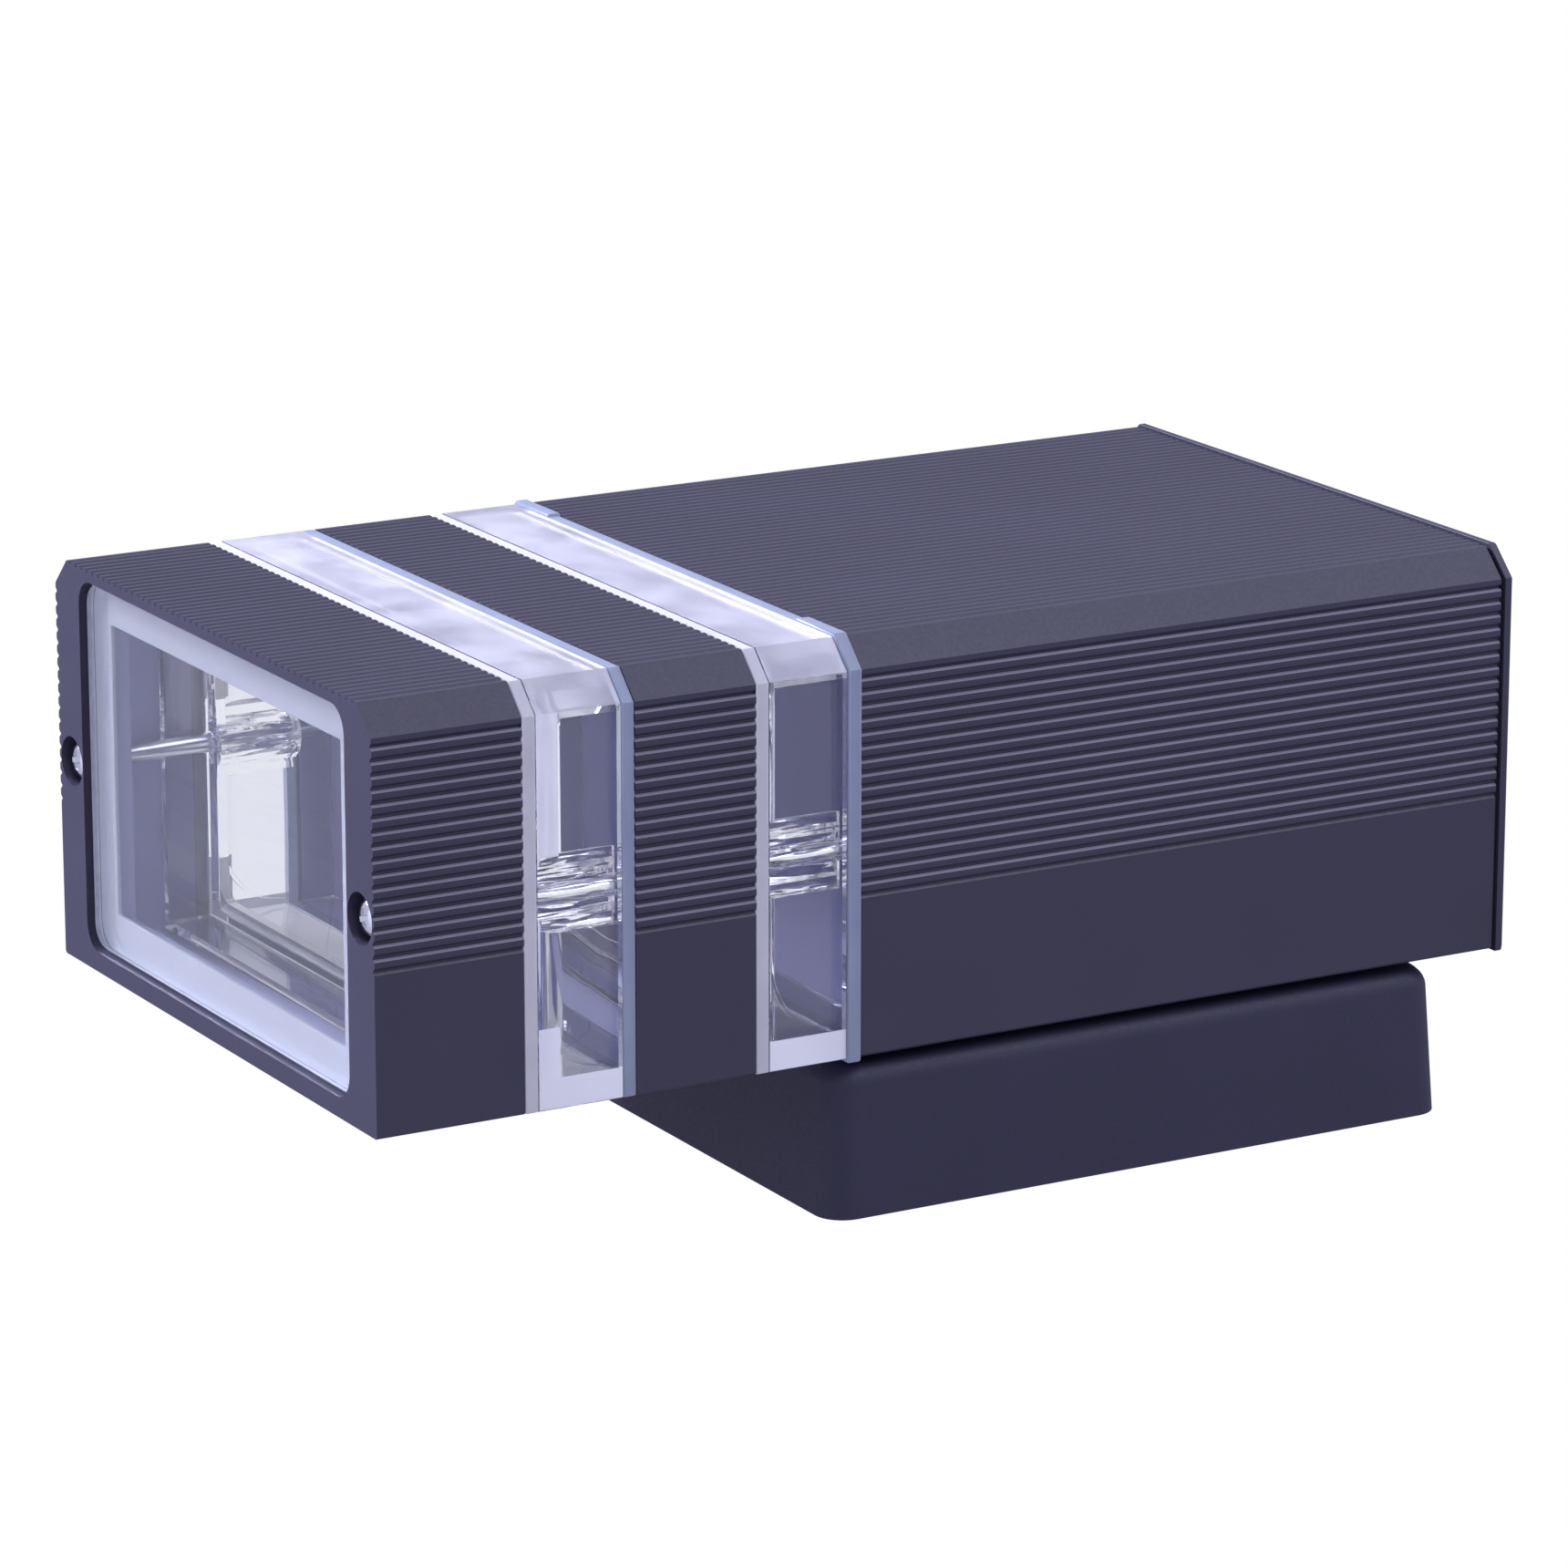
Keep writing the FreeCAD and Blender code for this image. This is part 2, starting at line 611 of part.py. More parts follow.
def build_window():
    """The pane, and the silicone behind it that beds it on the lip."""
    pane_z = FRONT_Z + D["window_recess"]
    name = "window_glass"
    body = window_block(name, pane_z, D["pane_thickness"])
    doc.recompute()
    block = body.Tip
    bevel = body.newObject("PartDesign::Chamfer", f"{name}_bevel")
    rim = [f"Edge{i}" for i, edge in enumerate(block.Shape.Edges, start=1)
           if all(near(vertex.Point.z, 0) for vertex in edge.Vertexes)]
    bevel.Base = (block, rim)
    bind(bevel, "Size", D["pane_bevel"])

    name = "window_gasket"
    body = window_block(name, pane_z + D["pane_thickness"], D["gasket_thickness"])
    opening = rectangle(body, f"{name}_opening_outline", *window_edge(D["gasket_border"]))
    pocket(body, f"{name}_opening", opening, D["gasket_thickness"] + OVERSHOOT)


def build_clear_ring(name, start, band):
    """A moulded clear ring: a wall, two skirts, an inner flange and two screw bosses."""
    width = band - D["seal_width"] * 2
    body = new_body(name, y=BACK_Y, z=start + D["seal_width"])
    section_pad(body, f"{name}_wall", 0, 0, width)
    section_pad(body, f"{name}_skirts", SKIRT_INSET, -SKIRT_END, width + SKIRT_END * 2)
    side = HALF_WIDTH - RING_INSET - D["flange_height"]
    low = -(D["body_depth"] - RING_INSET - D["flange_height"])
    high = -(RING_INSET + D["flange_height"])
    through = rectangle(body, f"{name}_opening_outline", -side, side, low, high,
                        offset=-SKIRT_END - OVERSHOOT)
    pocket(body, f"{name}_opening", through, width + SKIRT_END * 2 + OVERSHOOT * 2)
    for word, radius, level in (("round", D["flange_round"], low),
                                ("corner", D["flange_corner"], high)):
        fillet(body, f"{name}_opening_{word}", radius, lambda edge: (
            edge_between(edge, "z", -SKIRT_END.number, (width + SKIRT_END).number)
            and near(abs(edge.Vertexes[0].Point.x), side.number)
            and near(edge.Vertexes[0].Point.y, level.number)))
    section_pocket(body, f"{name}_lower_hollow", RING_INSET, -SKIRT_END - OVERSHOOT,
                   SKIRT_END + OVERSHOOT)
    section_pocket(body, f"{name}_upper_hollow", RING_INSET, D["flange_width"],
                   width + SKIRT_END - D["flange_width"] + OVERSHOOT)
    reach = D["screw_inset"] - SKIRT_INSET
    for direction, word in ((-1, "far"), (1, "near")):
        rod(body, f"{name}_{word}_boss", SCREW_X * direction, SCREW_Y, 0,
            D["boss_radius"], width)
        bar(body, f"{name}_{word}_pad", (HALF_WIDTH - D["boss_pad"]) * direction
            - (D["boss_pad"] - SKIRT_INSET) * (1 if direction < 0 else 0),
            SCREW_Y - D["boss_pad_width"] / 2, 0, D["boss_pad"] - SKIRT_INSET,
            D["boss_pad_width"], width)
        bar(body, f"{name}_{word}_web", (SCREW_X - D["boss_radius"]) * direction
            - (D["boss_radius"] + reach) * (1 if direction < 0 else 0),
            SCREW_Y - D["boss_radius"], 0, D["boss_radius"] + reach,
            D["boss_radius"] * 2, width)
        bore(body, f"{name}_{word}_bore", SCREW_X * direction, SCREW_Y,
             -SKIRT_END - OVERSHOOT, D["boss_bore"], width + SKIRT_END * 2 + OVERSHOOT * 2)


def build_seal(name, start, proud):
    """A flat silicone seal that fits over a skirt."""
    body = new_body(name, y=BACK_Y, z=start)
    section_pad(body, f"{name}_block", -as_size(proud), 0, D["seal_width"])
    section_pocket(body, f"{name}_hollow", SKIRT_INSET, -OVERSHOOT,
                   D["seal_width"] + OVERSHOOT * 2)


def build_middle_segment():
    """The short ribbed segment between the clear rings."""
    name = "middle_segment"
    body = new_body(name, y=BACK_Y, z=MIDDLE_Z)
    section_pad(body, f"{name}_block", 0, 0, D["middle_length"])
    section_pocket(body, f"{name}_hollow", D["metal_wall"], -OVERSHOOT,
                   D["middle_length"] + OVERSHOOT * 2)
    cut_grooves(body, name, D["middle_length"])


def build_tie_screws():
    """The two long screws that hold the front stack on the housing, with rubber rings."""
    seat = FRONT_Z + D["counterbore_depth"]
    screws = []
    rings = []
    for side, word in ((-1, "far"), (1, "near")):
        screw = pan_screw(f"tie_{word}", D["tie_head_radius"], D["tie_head_height"],
                          D["tie_radius"], D["tie_length"])
        place(screw, x=SCREW_X * side, y=BACK_Y + SCREW_Y, z=seat - D["tie_seal"])
        screws.append(screw)
        disc = cylinder(f"tie_ring_{word}_disc", D["tie_head_radius"], D["tie_seal"])
        hole = cylinder(f"tie_ring_{word}_hole", D["tie_radius"] + D["thread_gap"],
                        D["tie_seal"] + 2 * OVERSHOOT, z=-OVERSHOOT)
        ring = cut(f"tie_ring_{word}", disc, [hole])
        place(ring, x=SCREW_X * side, y=BACK_Y + SCREW_Y, z=seat - D["tie_seal"])
        rings.append(ring)
    group("tie_screws", screws)
    group("tie_screw_seals", rings)


# ---- the main housing and its end ----

def build_main_housing():
    """The long housing: a section with screw ports and the stem hole in its back."""
    name = "main_housing"
    length = D["housing_length"]
    body = new_body(name, y=BACK_Y, z=HOUSING_Z)
    section_pad(body, f"{name}_block", 0, 0, length)
    section_pocket(body, f"{name}_hollow", D["metal_wall"], -OVERSHOOT, length + OVERSHOOT * 2)
    thread = D["tie_radius"] + D["thread_gap"]
    for side, word in ((-1, "far"), (1, "near")):
        rod(body, f"{name}_{word}_port", SCREW_X * side, SCREW_Y, PORT_START,
            D["port_radius"], length - PORT_START)
        bore(body, f"{name}_{word}_thread", SCREW_X * side, SCREW_Y, PORT_START - OVERSHOOT,
             thread, length + OVERSHOOT)
    bore(body, f"{name}_stem_hole", 0, -HOUSING_Z, -OVERSHOOT, STEM_HOLE,
         D["metal_wall"] + OVERSHOOT * 2, role="XZ_Plane")
    cut_grooves(body, name, length)


def build_end_cap():
    """The end cap, its rubber sheet and its two countersunk screws."""
    name = "end_cap_gasket"
    body = new_body(name, y=BACK_Y, z=CAP_GASKET_Z)
    section_pad(body, f"{name}_block", D["cap_gasket_inset"], 0, D["cap_gasket"])
    section_pocket(body, f"{name}_hollow", D["metal_wall"], -OVERSHOOT,
                   D["cap_gasket"] + OVERSHOOT * 2)

    name = "end_cap"
    body = new_body(name, y=BACK_Y, z=CAP_Z)
    proud = -D["cap_proud"]
    section_pad(body, f"{name}_block", proud, 0, D["cap_thickness"])
    doc.recompute()
    bevel = body.newObject("PartDesign::Chamfer", f"{name}_bevel")
    block = body.getObject(f"{name}_block")
    top = D["cap_thickness"].number
    rim = [f"Edge{i}" for i, edge in enumerate(block.Shape.Edges, start=1)
           if edge_between(edge, "z", top, top)]
    bevel.Base = (block, rim)
    bind(bevel, "Size", D["cap_bevel"])
    screws = []
    for side, word in ((-1, "far"), (1, "near")):
        bore(body, f"{name}_{word}_hole", SCREW_X * side, SCREW_Y, -OVERSHOOT,
             D["boss_bore"], D["cap_thickness"] + OVERSHOOT * 2)
        countersink(body, f"{name}_{word}_sink", SCREW_X * side, SCREW_Y, 0,
                    D["boss_bore"], D["cap_head_radius"] + D["thread_gap"],
                    D["cap_thickness"])
        screw = flat_screw(f"cap_screw_{word}", D["cap_head_radius"], D["cap_thickness"],
                           D["tie_radius"], D["cap_screw_length"])
        place(screw, x=SCREW_X * side, y=BACK_Y + SCREW_Y, z=CAP_Z + D["cap_thickness"],
              turn=FLIP)
        screws.append(screw)
    group("end_cap_screws", screws)


# ---- inside the housing: stem, lampholder and leads ----

def build_stem():
    """The hollow stem, its nuts and washers, the friction disc and the lead sleeve."""
    tube("swivel_stem", D["stem_radius"], D["stem_bore"], STEM_IN_Y - STEM_OUT_Y, STEM_IN_Y)
    thread = D["stem_radius"] + D["thread_gap"]
    hex_nut("head_stem_nut", thread, HEAD_NUT_Y)
    hex_nut("box_stem_nut", thread, BOX_NUT_Y + D["nut_height"])
    tube("head_stem_washer", D["washer_radius"], thread, D["washer_thickness"], FOOT_Y)
    tube("box_stem_washer", D["washer_radius"], thread, D["washer_thickness"], BOX_NUT_Y)
    tube("swivel_disc", D["disc_radius"], thread, D["swivel_gap"] - D["running_gap"],
         -(D["box_height"] + D["running_gap"]))
    tube("lead_sleeve", D["sleeve_radius"], D["sleeve_bore"], SLEEVE_IN_Y - SLEEVE_OUT_Y,
         SLEEVE_IN_Y)


def build_lampholder():
    """The ceramic holder, the bracket clamped under the stem nut, and their screws."""
    name = "lampholder_bracket"
    body = new_body(name)
    half = D["bracket_width"] / 2
    thick = D["bracket_thickness"]
    bar(body, f"{name}_foot", -half, FOOT_Y, -D["bracket_tail"], D["bracket_width"], thick,
        D["bracket_tail"] + D["holder_top"] + thick)
    shelf_end = LAMP_Y - D["holder_depth"] / 2
    bar(body, f"{name}_shelf", -half, shelf_end, D["holder_top"], D["bracket_width"],
        HEAD_INNER_Y - shelf_end, thick)
    bore(body, f"{name}_stem_hole", 0, 0, -(HEAD_INNER_Y + OVERSHOOT), STEM_HOLE,
         thick + OVERSHOOT * 2, role="XZ_Plane")
    bore(body, f"{name}_lead_hole", 0, LAMP_Y, D["holder_top"] - OVERSHOOT,
         D["pin_offset"], thick + OVERSHOOT * 2)
    earth_z = D["holder_top"] / 2
    bore(body, f"{name}_earth_hole", 0, earth_z, -(HEAD_INNER_Y + OVERSHOOT),
         D["earth_radius"] + D["thread_gap"], thick + OVERSHOOT * 2, role="XZ_Plane")

    name = "lampholder"
    holder = new_body(name, y=LAMP_Y, z=D["holder_top"] - D["holder_height"])
    across = D["holder_width"] / 2
    deep = D["holder_depth"] / 2
    pad(holder, f"{name}_block",
        rectangle(holder, f"{name}_outline", -across, across, -deep, deep), D["holder_height"])
    height = D["holder_height"].number
    fillet(holder, f"{name}_round", D["holder_round"],
           lambda edge: edge_between(edge, "z", 0, height))
    screws = []
    for side, word in ((-1, "far"), (1, "near")):
        bore(holder, f"{name}_{word}_pin", D["pin_offset"] * side, 0, -OVERSHOOT,
             D["pin_radius"], D["pin_depth"] + OVERSHOOT)
        bore(holder, f"{name}_{word}_thread", D["holder_screw_offset"] * side, 0,
             D["holder_height"] - D["holder_screw_length"],
             D["tie_radius"] + D["thread_gap"], D["holder_screw_length"] + OVERSHOOT)
        bore(body, f"{name}_{word}_bracket_hole", D["holder_screw_offset"] * side, LAMP_Y,
             D["holder_top"] - OVERSHOOT, D["boss_bore"], thick + OVERSHOOT * 2)
        screw = pan_screw(f"holder_screw_{word}", D["tie_head_radius"], D["tie_head_height"],
                          D["tie_radius"], D["holder_screw_length"] + thick - OVERSHOOT)
        place(screw, x=D["holder_screw_offset"] * side, y=LAMP_Y, z=D["holder_top"] + thick,
              turn=FLIP)
        screws.append(screw)
    group("lampholder_screws", screws)
    earth = pan_screw("head_earth", D["earth_head_radius"], D["earth_head_height"],
                      D["earth_radius"], thick)
    node("head_earth_screw", place(earth, y=FOOT_Y, z=earth_z, turn=UP_Y))


def rounded_path(points, radius):
    """A wire of straight runs joined by tangent arcs, and the smallest arc in it."""
    points = [Vector(*point) for point in points]
    edges = []
    start = points[0]
    smallest = radius
    for before, corner, after in zip(points, points[1:], points[2:]):
        arrive = (corner - before).normalize()
        leave = (after - corner).normalize()
        turn = arrive.getAngle(leave)
        room = ARC_SHARE * min(before.distanceToPoint(corner), corner.distanceToPoint(after))
        reach = min(radius * math.tan(turn / 2), room)
        arc_radius = reach / math.tan(turn / 2)
        smallest = min(smallest, arc_radius)
        first = corner - arrive * reach
        last = corner + leave * reach
        inward = (leave - arrive).normalize()
        centre = corner + inward * (arc_radius / math.cos(turn / 2))
        middle = centre - inward * arc_radius
        edges.append(Part.LineSegment(start, first).toShape())
        edges.append(Part.Arc(first, middle, last).toShape())
        start = last
    edges.append(Part.LineSegment(start, points[-1]).toShape())
    return Part.Wire(edges), smallest


def build_lead(name, points, bend):
    """A round insulated lead along a route of straight runs and arcs."""
    radius = D["lead_radius"].number
    path, smallest = rounded_path(points, bend)
    heading = (Vector(*points[1]) - Vector(*points[0])).normalize()
    profile = Part.Wire(Part.makeCircle(radius, Vector(*points[0]), heading))
    solid = path.makePipeShell([profile], True, True)
    expected = math.pi * radius ** 2 * path.Length
    if abs(solid.Volume - expected) > VOLUME_TOLERANCE * expected:
        raise RuntimeError(f"{name} has the wrong volume")
    print(f"{name}: length {path.Length:.1f} mm, smallest bend {smallest:.1f} mm")
    item = doc.addObject("Part::Feature", name)
    item.Shape = solid
    node(name, item)


def build_leads():
    """The leads in the head, which end in the sleeve, and those in the box."""
    radius = D["lead_radius"].number
    spread = D["lead_spread"].number
    bend = BEND * radius
    tight = TIGHT_BEND * radius
    inside = SLEEVE_IN_Y.number - radius
    outside = SLEEVE_OUT_Y.number
    half = D["bracket_width"].number / 2
    shelf = D["holder_top"].number + D["bracket_thickness"].number
    lamp_y = LAMP_Y.number
    beside = half + BESIDE * radius
    out = outside - bend
    rise = shelf + D["tie_head_height"].number + OVER * radius
    exit_x = D["pin_offset"].number / 2
    for word, side in (("live", 1), ("neutral", -1)):
        x = spread * math.cos(SLEEVE_ANGLE) * side
        z = -spread * math.sin(SLEEVE_ANGLE)
        build_lead(f"head_{word}_lead", [
            (x, inside, z), (x, out, z), (beside * side, out, shelf / 3),
            (beside * side, out, rise), (exit_x * side, lamp_y, rise),
            (exit_x * side, lamp_y, D["holder_top"].number)], bend)
    earth_z = D["holder_top"].number / 2
    head = D["earth_head_height"].number
    build_lead("head_earth_lead", [
        (0, inside, spread), (0, outside - tight, spread),
        (0, outside + tight, earth_z / 2),
        (0, FOOT_Y.number - head - radius, earth_z),
        (0, FOOT_Y.number - head - radius, earth_z + D["earth_head_radius"].number)],
        tight)

    start = SLEEVE_IN_Y.number + radius
    near_wall = PLATE_Y.number - INSERTED * radius
    barrel_y = PLATE_Y.number - D["block_height"].number / 2
    block_top = -D["block_offset"].number + D["block_depth"].number / 2
    run = (start + near_wall) / 2
    for word, side in (("live", -1), ("neutral", 0), ("earth", 1)):
        x = ABREAST * radius * side
        pole = D["pole_pitch"].number * side
        build_lead(f"box_{word}_lead", [
            (x, start, 0), (x, run, -radius), (pole, barrel_y, block_top / 2),
            (pole, barrel_y, block_top - INSERTED * radius)], tight)
    pole = D["pole_pitch"].number
    far = D["earth_offset"].number
    screw_y = PLATE_Y.number - D["earth_head_height"].number - radius
    block_low = -D["block_offset"].number - D["block_depth"].number / 2
    build_lead("box_earth_link", [
        (pole, barrel_y, block_low + INSERTED * radius),
        (pole, barrel_y, block_low - OVER * radius),
        (far, screw_y, block_low - OVER * radius), (far, screw_y, EARTH_Z.number)], bend)


# ---- the wall box and what is in it ----

def build_wall_box():
    """The drafted square box with rounded edges, screw posts and the stem hole."""
    name = "wall_box"
    body = new_body(name)
    half = D["box_side"] / 2
    outline = rectangle(body, f"{name}_outline", -half, half, -half, half, role="XZ_Plane")
    pad(body, f"{name}_block", outline, D["box_height"], taper=-D["box_draft"])
    height = -D["box_height"].number
    fillet(body, f"{name}_corners", D["box_corner"],
           lambda edge: edge_between(edge, "y", height, 0))
    fillet(body, f"{name}_face_round", D["box_round"],
           lambda edge: edge_between(edge, "y", height, height))
    inner = half - D["box_wall"]
    hollow = rectangle(body, f"{name}_hollow_outline", -inner, inner, -inner, inner,
                       role="XZ_Plane")
    depth = D["box_height"] - D["box_face"]
    pocket(body, f"{name}_hollow", hollow, depth, taper=-D["box_draft"])
    post = D["post_offset"]
    for side, word in ((-1, "low"), (1, "high")):
        spot = post * side
        rod(body, f"{name}_{word}_post", spot, spot, D["plate_thickness"],
            D["post_radius"], D["box_height"] - D["plate_thickness"] - D["box_face"] / 2,
            role="XZ_Plane")
        bore(body, f"{name}_{word}_post_hole", spot, spot, 0, D["post_bore"],
             D["box_height"] + OVERSHOOT, role="XZ_Plane")
        countersink(body, f"{name}_{word}_sink", spot, spot,
                    D["box_height"] - D["box_head_depth"],
                    D["box_screw_radius"] + D["thread_gap"],
                    D["box_head_radius"] + D["thread_gap"], D["box_head_depth"],
                    role="XZ_Plane")
    bore(body, f"{name}_stem_hole", 0, 0, 0, D["stem_radius"] + D["running_gap"],
         D["box_height"] + OVERSHOOT, role="XZ_Plane")

    screws = []
    for side, word in ((-1, "low"), (1, "high")):
        screw = flat_screw(f"box_screw_{word}", D["box_head_radius"], D["box_head_depth"],
                           D["box_screw_radius"], D["box_height"] - D["thread_gap"])
        place(screw, x=post * side, y=-D["box_height"], z=post * side, turn=UP_Y)
        screws.append(screw)
    group("box_screws", screws)


def build_wall_seal():
    """The foam strip inside the box's rim."""
    name = "wall_seal"
    body = new_body(name)
    draft = math.tan(math.radians(D["box_draft"].number))
    outer = (D["box_side"] / 2 - D["box_wall"] - D["foam_gap"] - D["foam_height"] * draft)
    inner = outer - D["foam_width"]
    strip = rectangle(body, f"{name}_outline", -outer, outer, -outer, outer, role="XZ_Plane")
    pad(body, f"{name}_block", strip, D["foam_height"])
    hollow = rectangle(body, f"{name}_hollow_outline", -inner, inner, -inner, inner,
                       role="XZ_Plane", offset=-OVERSHOOT)
    pocket(body, f"{name}_hollow", hollow, D["foam_height"] + OVERSHOOT * 2)


def build_wall_plate():
    """The flat plate that is screwed to the wall, with two slots and a cable entry."""
    name = "wall_plate"
    body = new_body(name)
    half = D["plate_side"] / 2
    thick = D["plate_thickness"]
    deep = thick + OVERSHOOT * 2
    bar(body, f"{name}_block", -half, -half, 0, D["plate_side"], D["plate_side"], thick,
        role="XZ_Plane")
    end = D["slot_length"] / 2 - D["slot_radius"]
    for side, word in ((-1, "left"), (1, "right")):
        centre = D["slot_spacing"] / 2 * side
        for step, label in ((-1, "inner"), (1, "outer")):
            bore(body, f"{name}_{word}_{label}_round", centre + end * step, 0, -OVERSHOOT,
                 D["slot_radius"], deep, role="XZ_Plane")
        straight = rectangle(body, f"{name}_{word}_slot_outline", centre - end, centre + end,
                             -D["slot_radius"], D["slot_radius"], role="XZ_Plane",
                             offset=-OVERSHOOT)
        pocket(body, f"{name}_{word}_slot", straight, deep)
        bore(body, f"{name}_{word}_post_thread", D["post_offset"] * side,
             D["post_offset"] * side, -OVERSHOOT, D["box_screw_radius"] + D["thread_gap"],
             deep, role="XZ_Plane")
    bore(body, f"{name}_cable_entry", 0, D["cable_offset"], -OVERSHOOT, D["cable_hole"], deep,
         role="XZ_Plane")
    bore(body, f"{name}_earth_thread", D["earth_offset"], EARTH_Z, -OVERSHOOT,
         D["earth_radius"] + D["thread_gap"], deep, role="XZ_Plane")

    earth = pan_screw("box_earth", D["earth_head_radius"], D["earth_head_height"],
                      D["earth_radius"], thick)
    node("box_earth_screw", place(earth, x=D["earth_offset"], y=PLATE_Y, z=EARTH_Z, turn=UP_Y))


def build_grommet():
    """The rubber grommet in the cable entry, flush with the wall side of the plate."""
    name = "cable_grommet"
    body = new_body(name)
    rod(body, f"{name}_neck", 0, D["cable_offset"], 0, D["cable_hole"], D["plate_thickness"],
        role="XZ_Plane")
    rod(body, f"{name}_flange", 0, D["cable_offset"], D["plate_thickness"],
        D["grommet_flange"], D["grommet_height"], role="XZ_Plane")
    bore(body, f"{name}_bore", 0, D["cable_offset"], -OVERSHOOT, D["grommet_bore"],
         D["plate_thickness"] + D["grommet_height"] + OVERSHOOT * 2, role="XZ_Plane")


def build_terminal_block():
    """The three-pole terminal block, its brass barrels and their screws."""
    name = "terminal_block"
    centre_z = -D["block_offset"]
    body = new_body(name, y=PLATE_Y, z=centre_z)
    bar(body, f"{name}_block", -D["block_length"] / 2, -D["block_depth"] / 2, 0,
        D["block_length"], D["block_depth"], D["block_height"], role="XZ_Plane")
    middle = D["block_height"] / 2
    barrels = []
    screws = []
    barrel_y = PLATE_Y - middle
    screw_length = middle - D["barrel_bore"]
    for number in (-1, 0, 1):
        word = ("left", "middle", "right")[number + 1]
        pole = D["pole_pitch"] * number
        bore(body, f"{name}_{word}_barrel_hole", pole, -middle,
             -(D["block_depth"] / 2 + OVERSHOOT), D["barrel_radius"],
             D["block_depth"] + OVERSHOOT * 2)
        outside = cylinder(f"barrel_{word}_outside", D["barrel_radius"], D["block_depth"])
        tools = [cylinder(f"barrel_{word}_hole", D["barrel_bore"],
                          D["block_depth"] + 2 * OVERSHOOT, z=-OVERSHOOT)]
        for step, label in ((-1, "low"), (1, "high")):
            offset = D["terminal_offset"] * step
            bore(body, f"{name}_{word}_{label}_screw_hole", pole, offset, middle,
                 D["terminal_radius"] + D["thread_gap"], middle + OVERSHOOT,
                 role="XZ_Plane")
            tools.append(cylinder(f"barrel_{word}_{label}_tap",
                                  D["terminal_radius"] + D["thread_gap"],
                                  D["barrel_radius"] + OVERSHOOT,
                                  z=D["block_depth"] / 2 + offset, turn=OUT_Y))
            screw = cylinder(f"terminal_{word}_{label}_screw", D["terminal_radius"],
                             screw_length)
            place(screw, x=pole, y=barrel_y - D["barrel_bore"], z=centre_z + offset,
                  turn=OUT_Y)
            screws.append(screw)
        barrel = cut(f"barrel_{word}", outside, tools)
        place(barrel, x=pole, y=barrel_y, z=centre_z - D["block_depth"] / 2)
        barrels.append(barrel)
    group("terminal_barrels", barrels)
    group("terminal_screws", screws)


# ---- build, check and write ----

def check_document():
    """Stops if any object failed or any node's shape is missing or broken."""
    for item in doc.Objects:
        if any(word in item.State for word in ("Invalid", "Error")):
            raise RuntimeError(f"{item.Name} failed: {item.State}")
    for name, item in NODES.items():
        shape = item.Shape
        if shape.isNull() or not shape.isValid() or not shape.Solids:
            raise RuntimeError(f"{name} has no valid shape")


def write_nodes():
    """Writes one STEP file for each node."""
    os.makedirs("parts", exist_ok=True)
    for name, item in NODES.items():
        item.Shape.exportStep(f"parts/{name}.step")
        print(f"{name}: {len(item.Shape.Solids)} solids, {item.Shape.Volume:.0f} mm3")


build_front_frame()
build_window()
build_clear_ring("lower_clear_ring", LOWER_Z, D["lower_band"])
build_middle_segment()
build_clear_ring("upper_clear_ring", UPPER_Z, D["upper_band"])
build_seal("seal_front", LOWER_Z, 0)
build_seal("seal_middle_lower", MIDDLE_Z - D["seal_width"], 0)
build_seal("seal_middle_upper", UPPER_Z, 0)
build_seal("seal_housing", HOUSING_Z - D["seal_width"], D["seal_proud"])
build_tie_screws()
build_main_housing()
build_end_cap()
build_stem()
build_lampholder()
build_wall_box()
build_wall_seal()
build_wall_plate()
build_grommet()
build_terminal_block()
build_leads()
doc.recompute()
check_document()
write_nodes()
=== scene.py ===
"""The looks of a swivel wall luminaire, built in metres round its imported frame."""

import logging
import math
from dataclasses import dataclass
from enum import Enum
from typing import Any, Callable, Optional, Sequence

import bmesh
import bpy
from bpy.types import Material, Mesh, Node, NodeSocket, NodeTree, Object
from mathutils import Matrix, Vector


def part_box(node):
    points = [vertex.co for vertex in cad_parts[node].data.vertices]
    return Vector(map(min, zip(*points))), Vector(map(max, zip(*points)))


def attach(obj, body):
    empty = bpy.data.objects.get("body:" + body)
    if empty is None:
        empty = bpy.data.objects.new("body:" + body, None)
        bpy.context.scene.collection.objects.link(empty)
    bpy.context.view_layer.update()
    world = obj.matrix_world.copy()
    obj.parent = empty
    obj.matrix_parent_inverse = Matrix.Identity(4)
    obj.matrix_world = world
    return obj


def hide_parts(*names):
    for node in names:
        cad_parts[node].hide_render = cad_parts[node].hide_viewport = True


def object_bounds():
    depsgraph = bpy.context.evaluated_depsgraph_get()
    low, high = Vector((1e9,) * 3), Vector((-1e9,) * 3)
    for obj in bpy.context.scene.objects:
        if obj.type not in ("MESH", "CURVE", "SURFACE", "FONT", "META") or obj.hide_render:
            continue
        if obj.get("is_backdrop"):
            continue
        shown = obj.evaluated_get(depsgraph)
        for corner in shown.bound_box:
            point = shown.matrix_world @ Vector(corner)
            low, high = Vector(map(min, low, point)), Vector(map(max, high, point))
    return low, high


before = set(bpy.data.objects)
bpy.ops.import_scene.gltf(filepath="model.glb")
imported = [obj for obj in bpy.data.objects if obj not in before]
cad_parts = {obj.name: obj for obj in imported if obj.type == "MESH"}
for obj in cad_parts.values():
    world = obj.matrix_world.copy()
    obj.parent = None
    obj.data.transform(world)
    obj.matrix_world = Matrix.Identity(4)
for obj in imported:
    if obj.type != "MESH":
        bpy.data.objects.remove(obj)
CAD_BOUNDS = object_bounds()

LOG = logging.getLogger("luminaire")
MM = 0.001
AIR = 0.03 * MM  # gap between faces that meet
SMOOTH_ANGLE = 40.0
HEAD = "lamp_head"
WALL = "wall_mount"

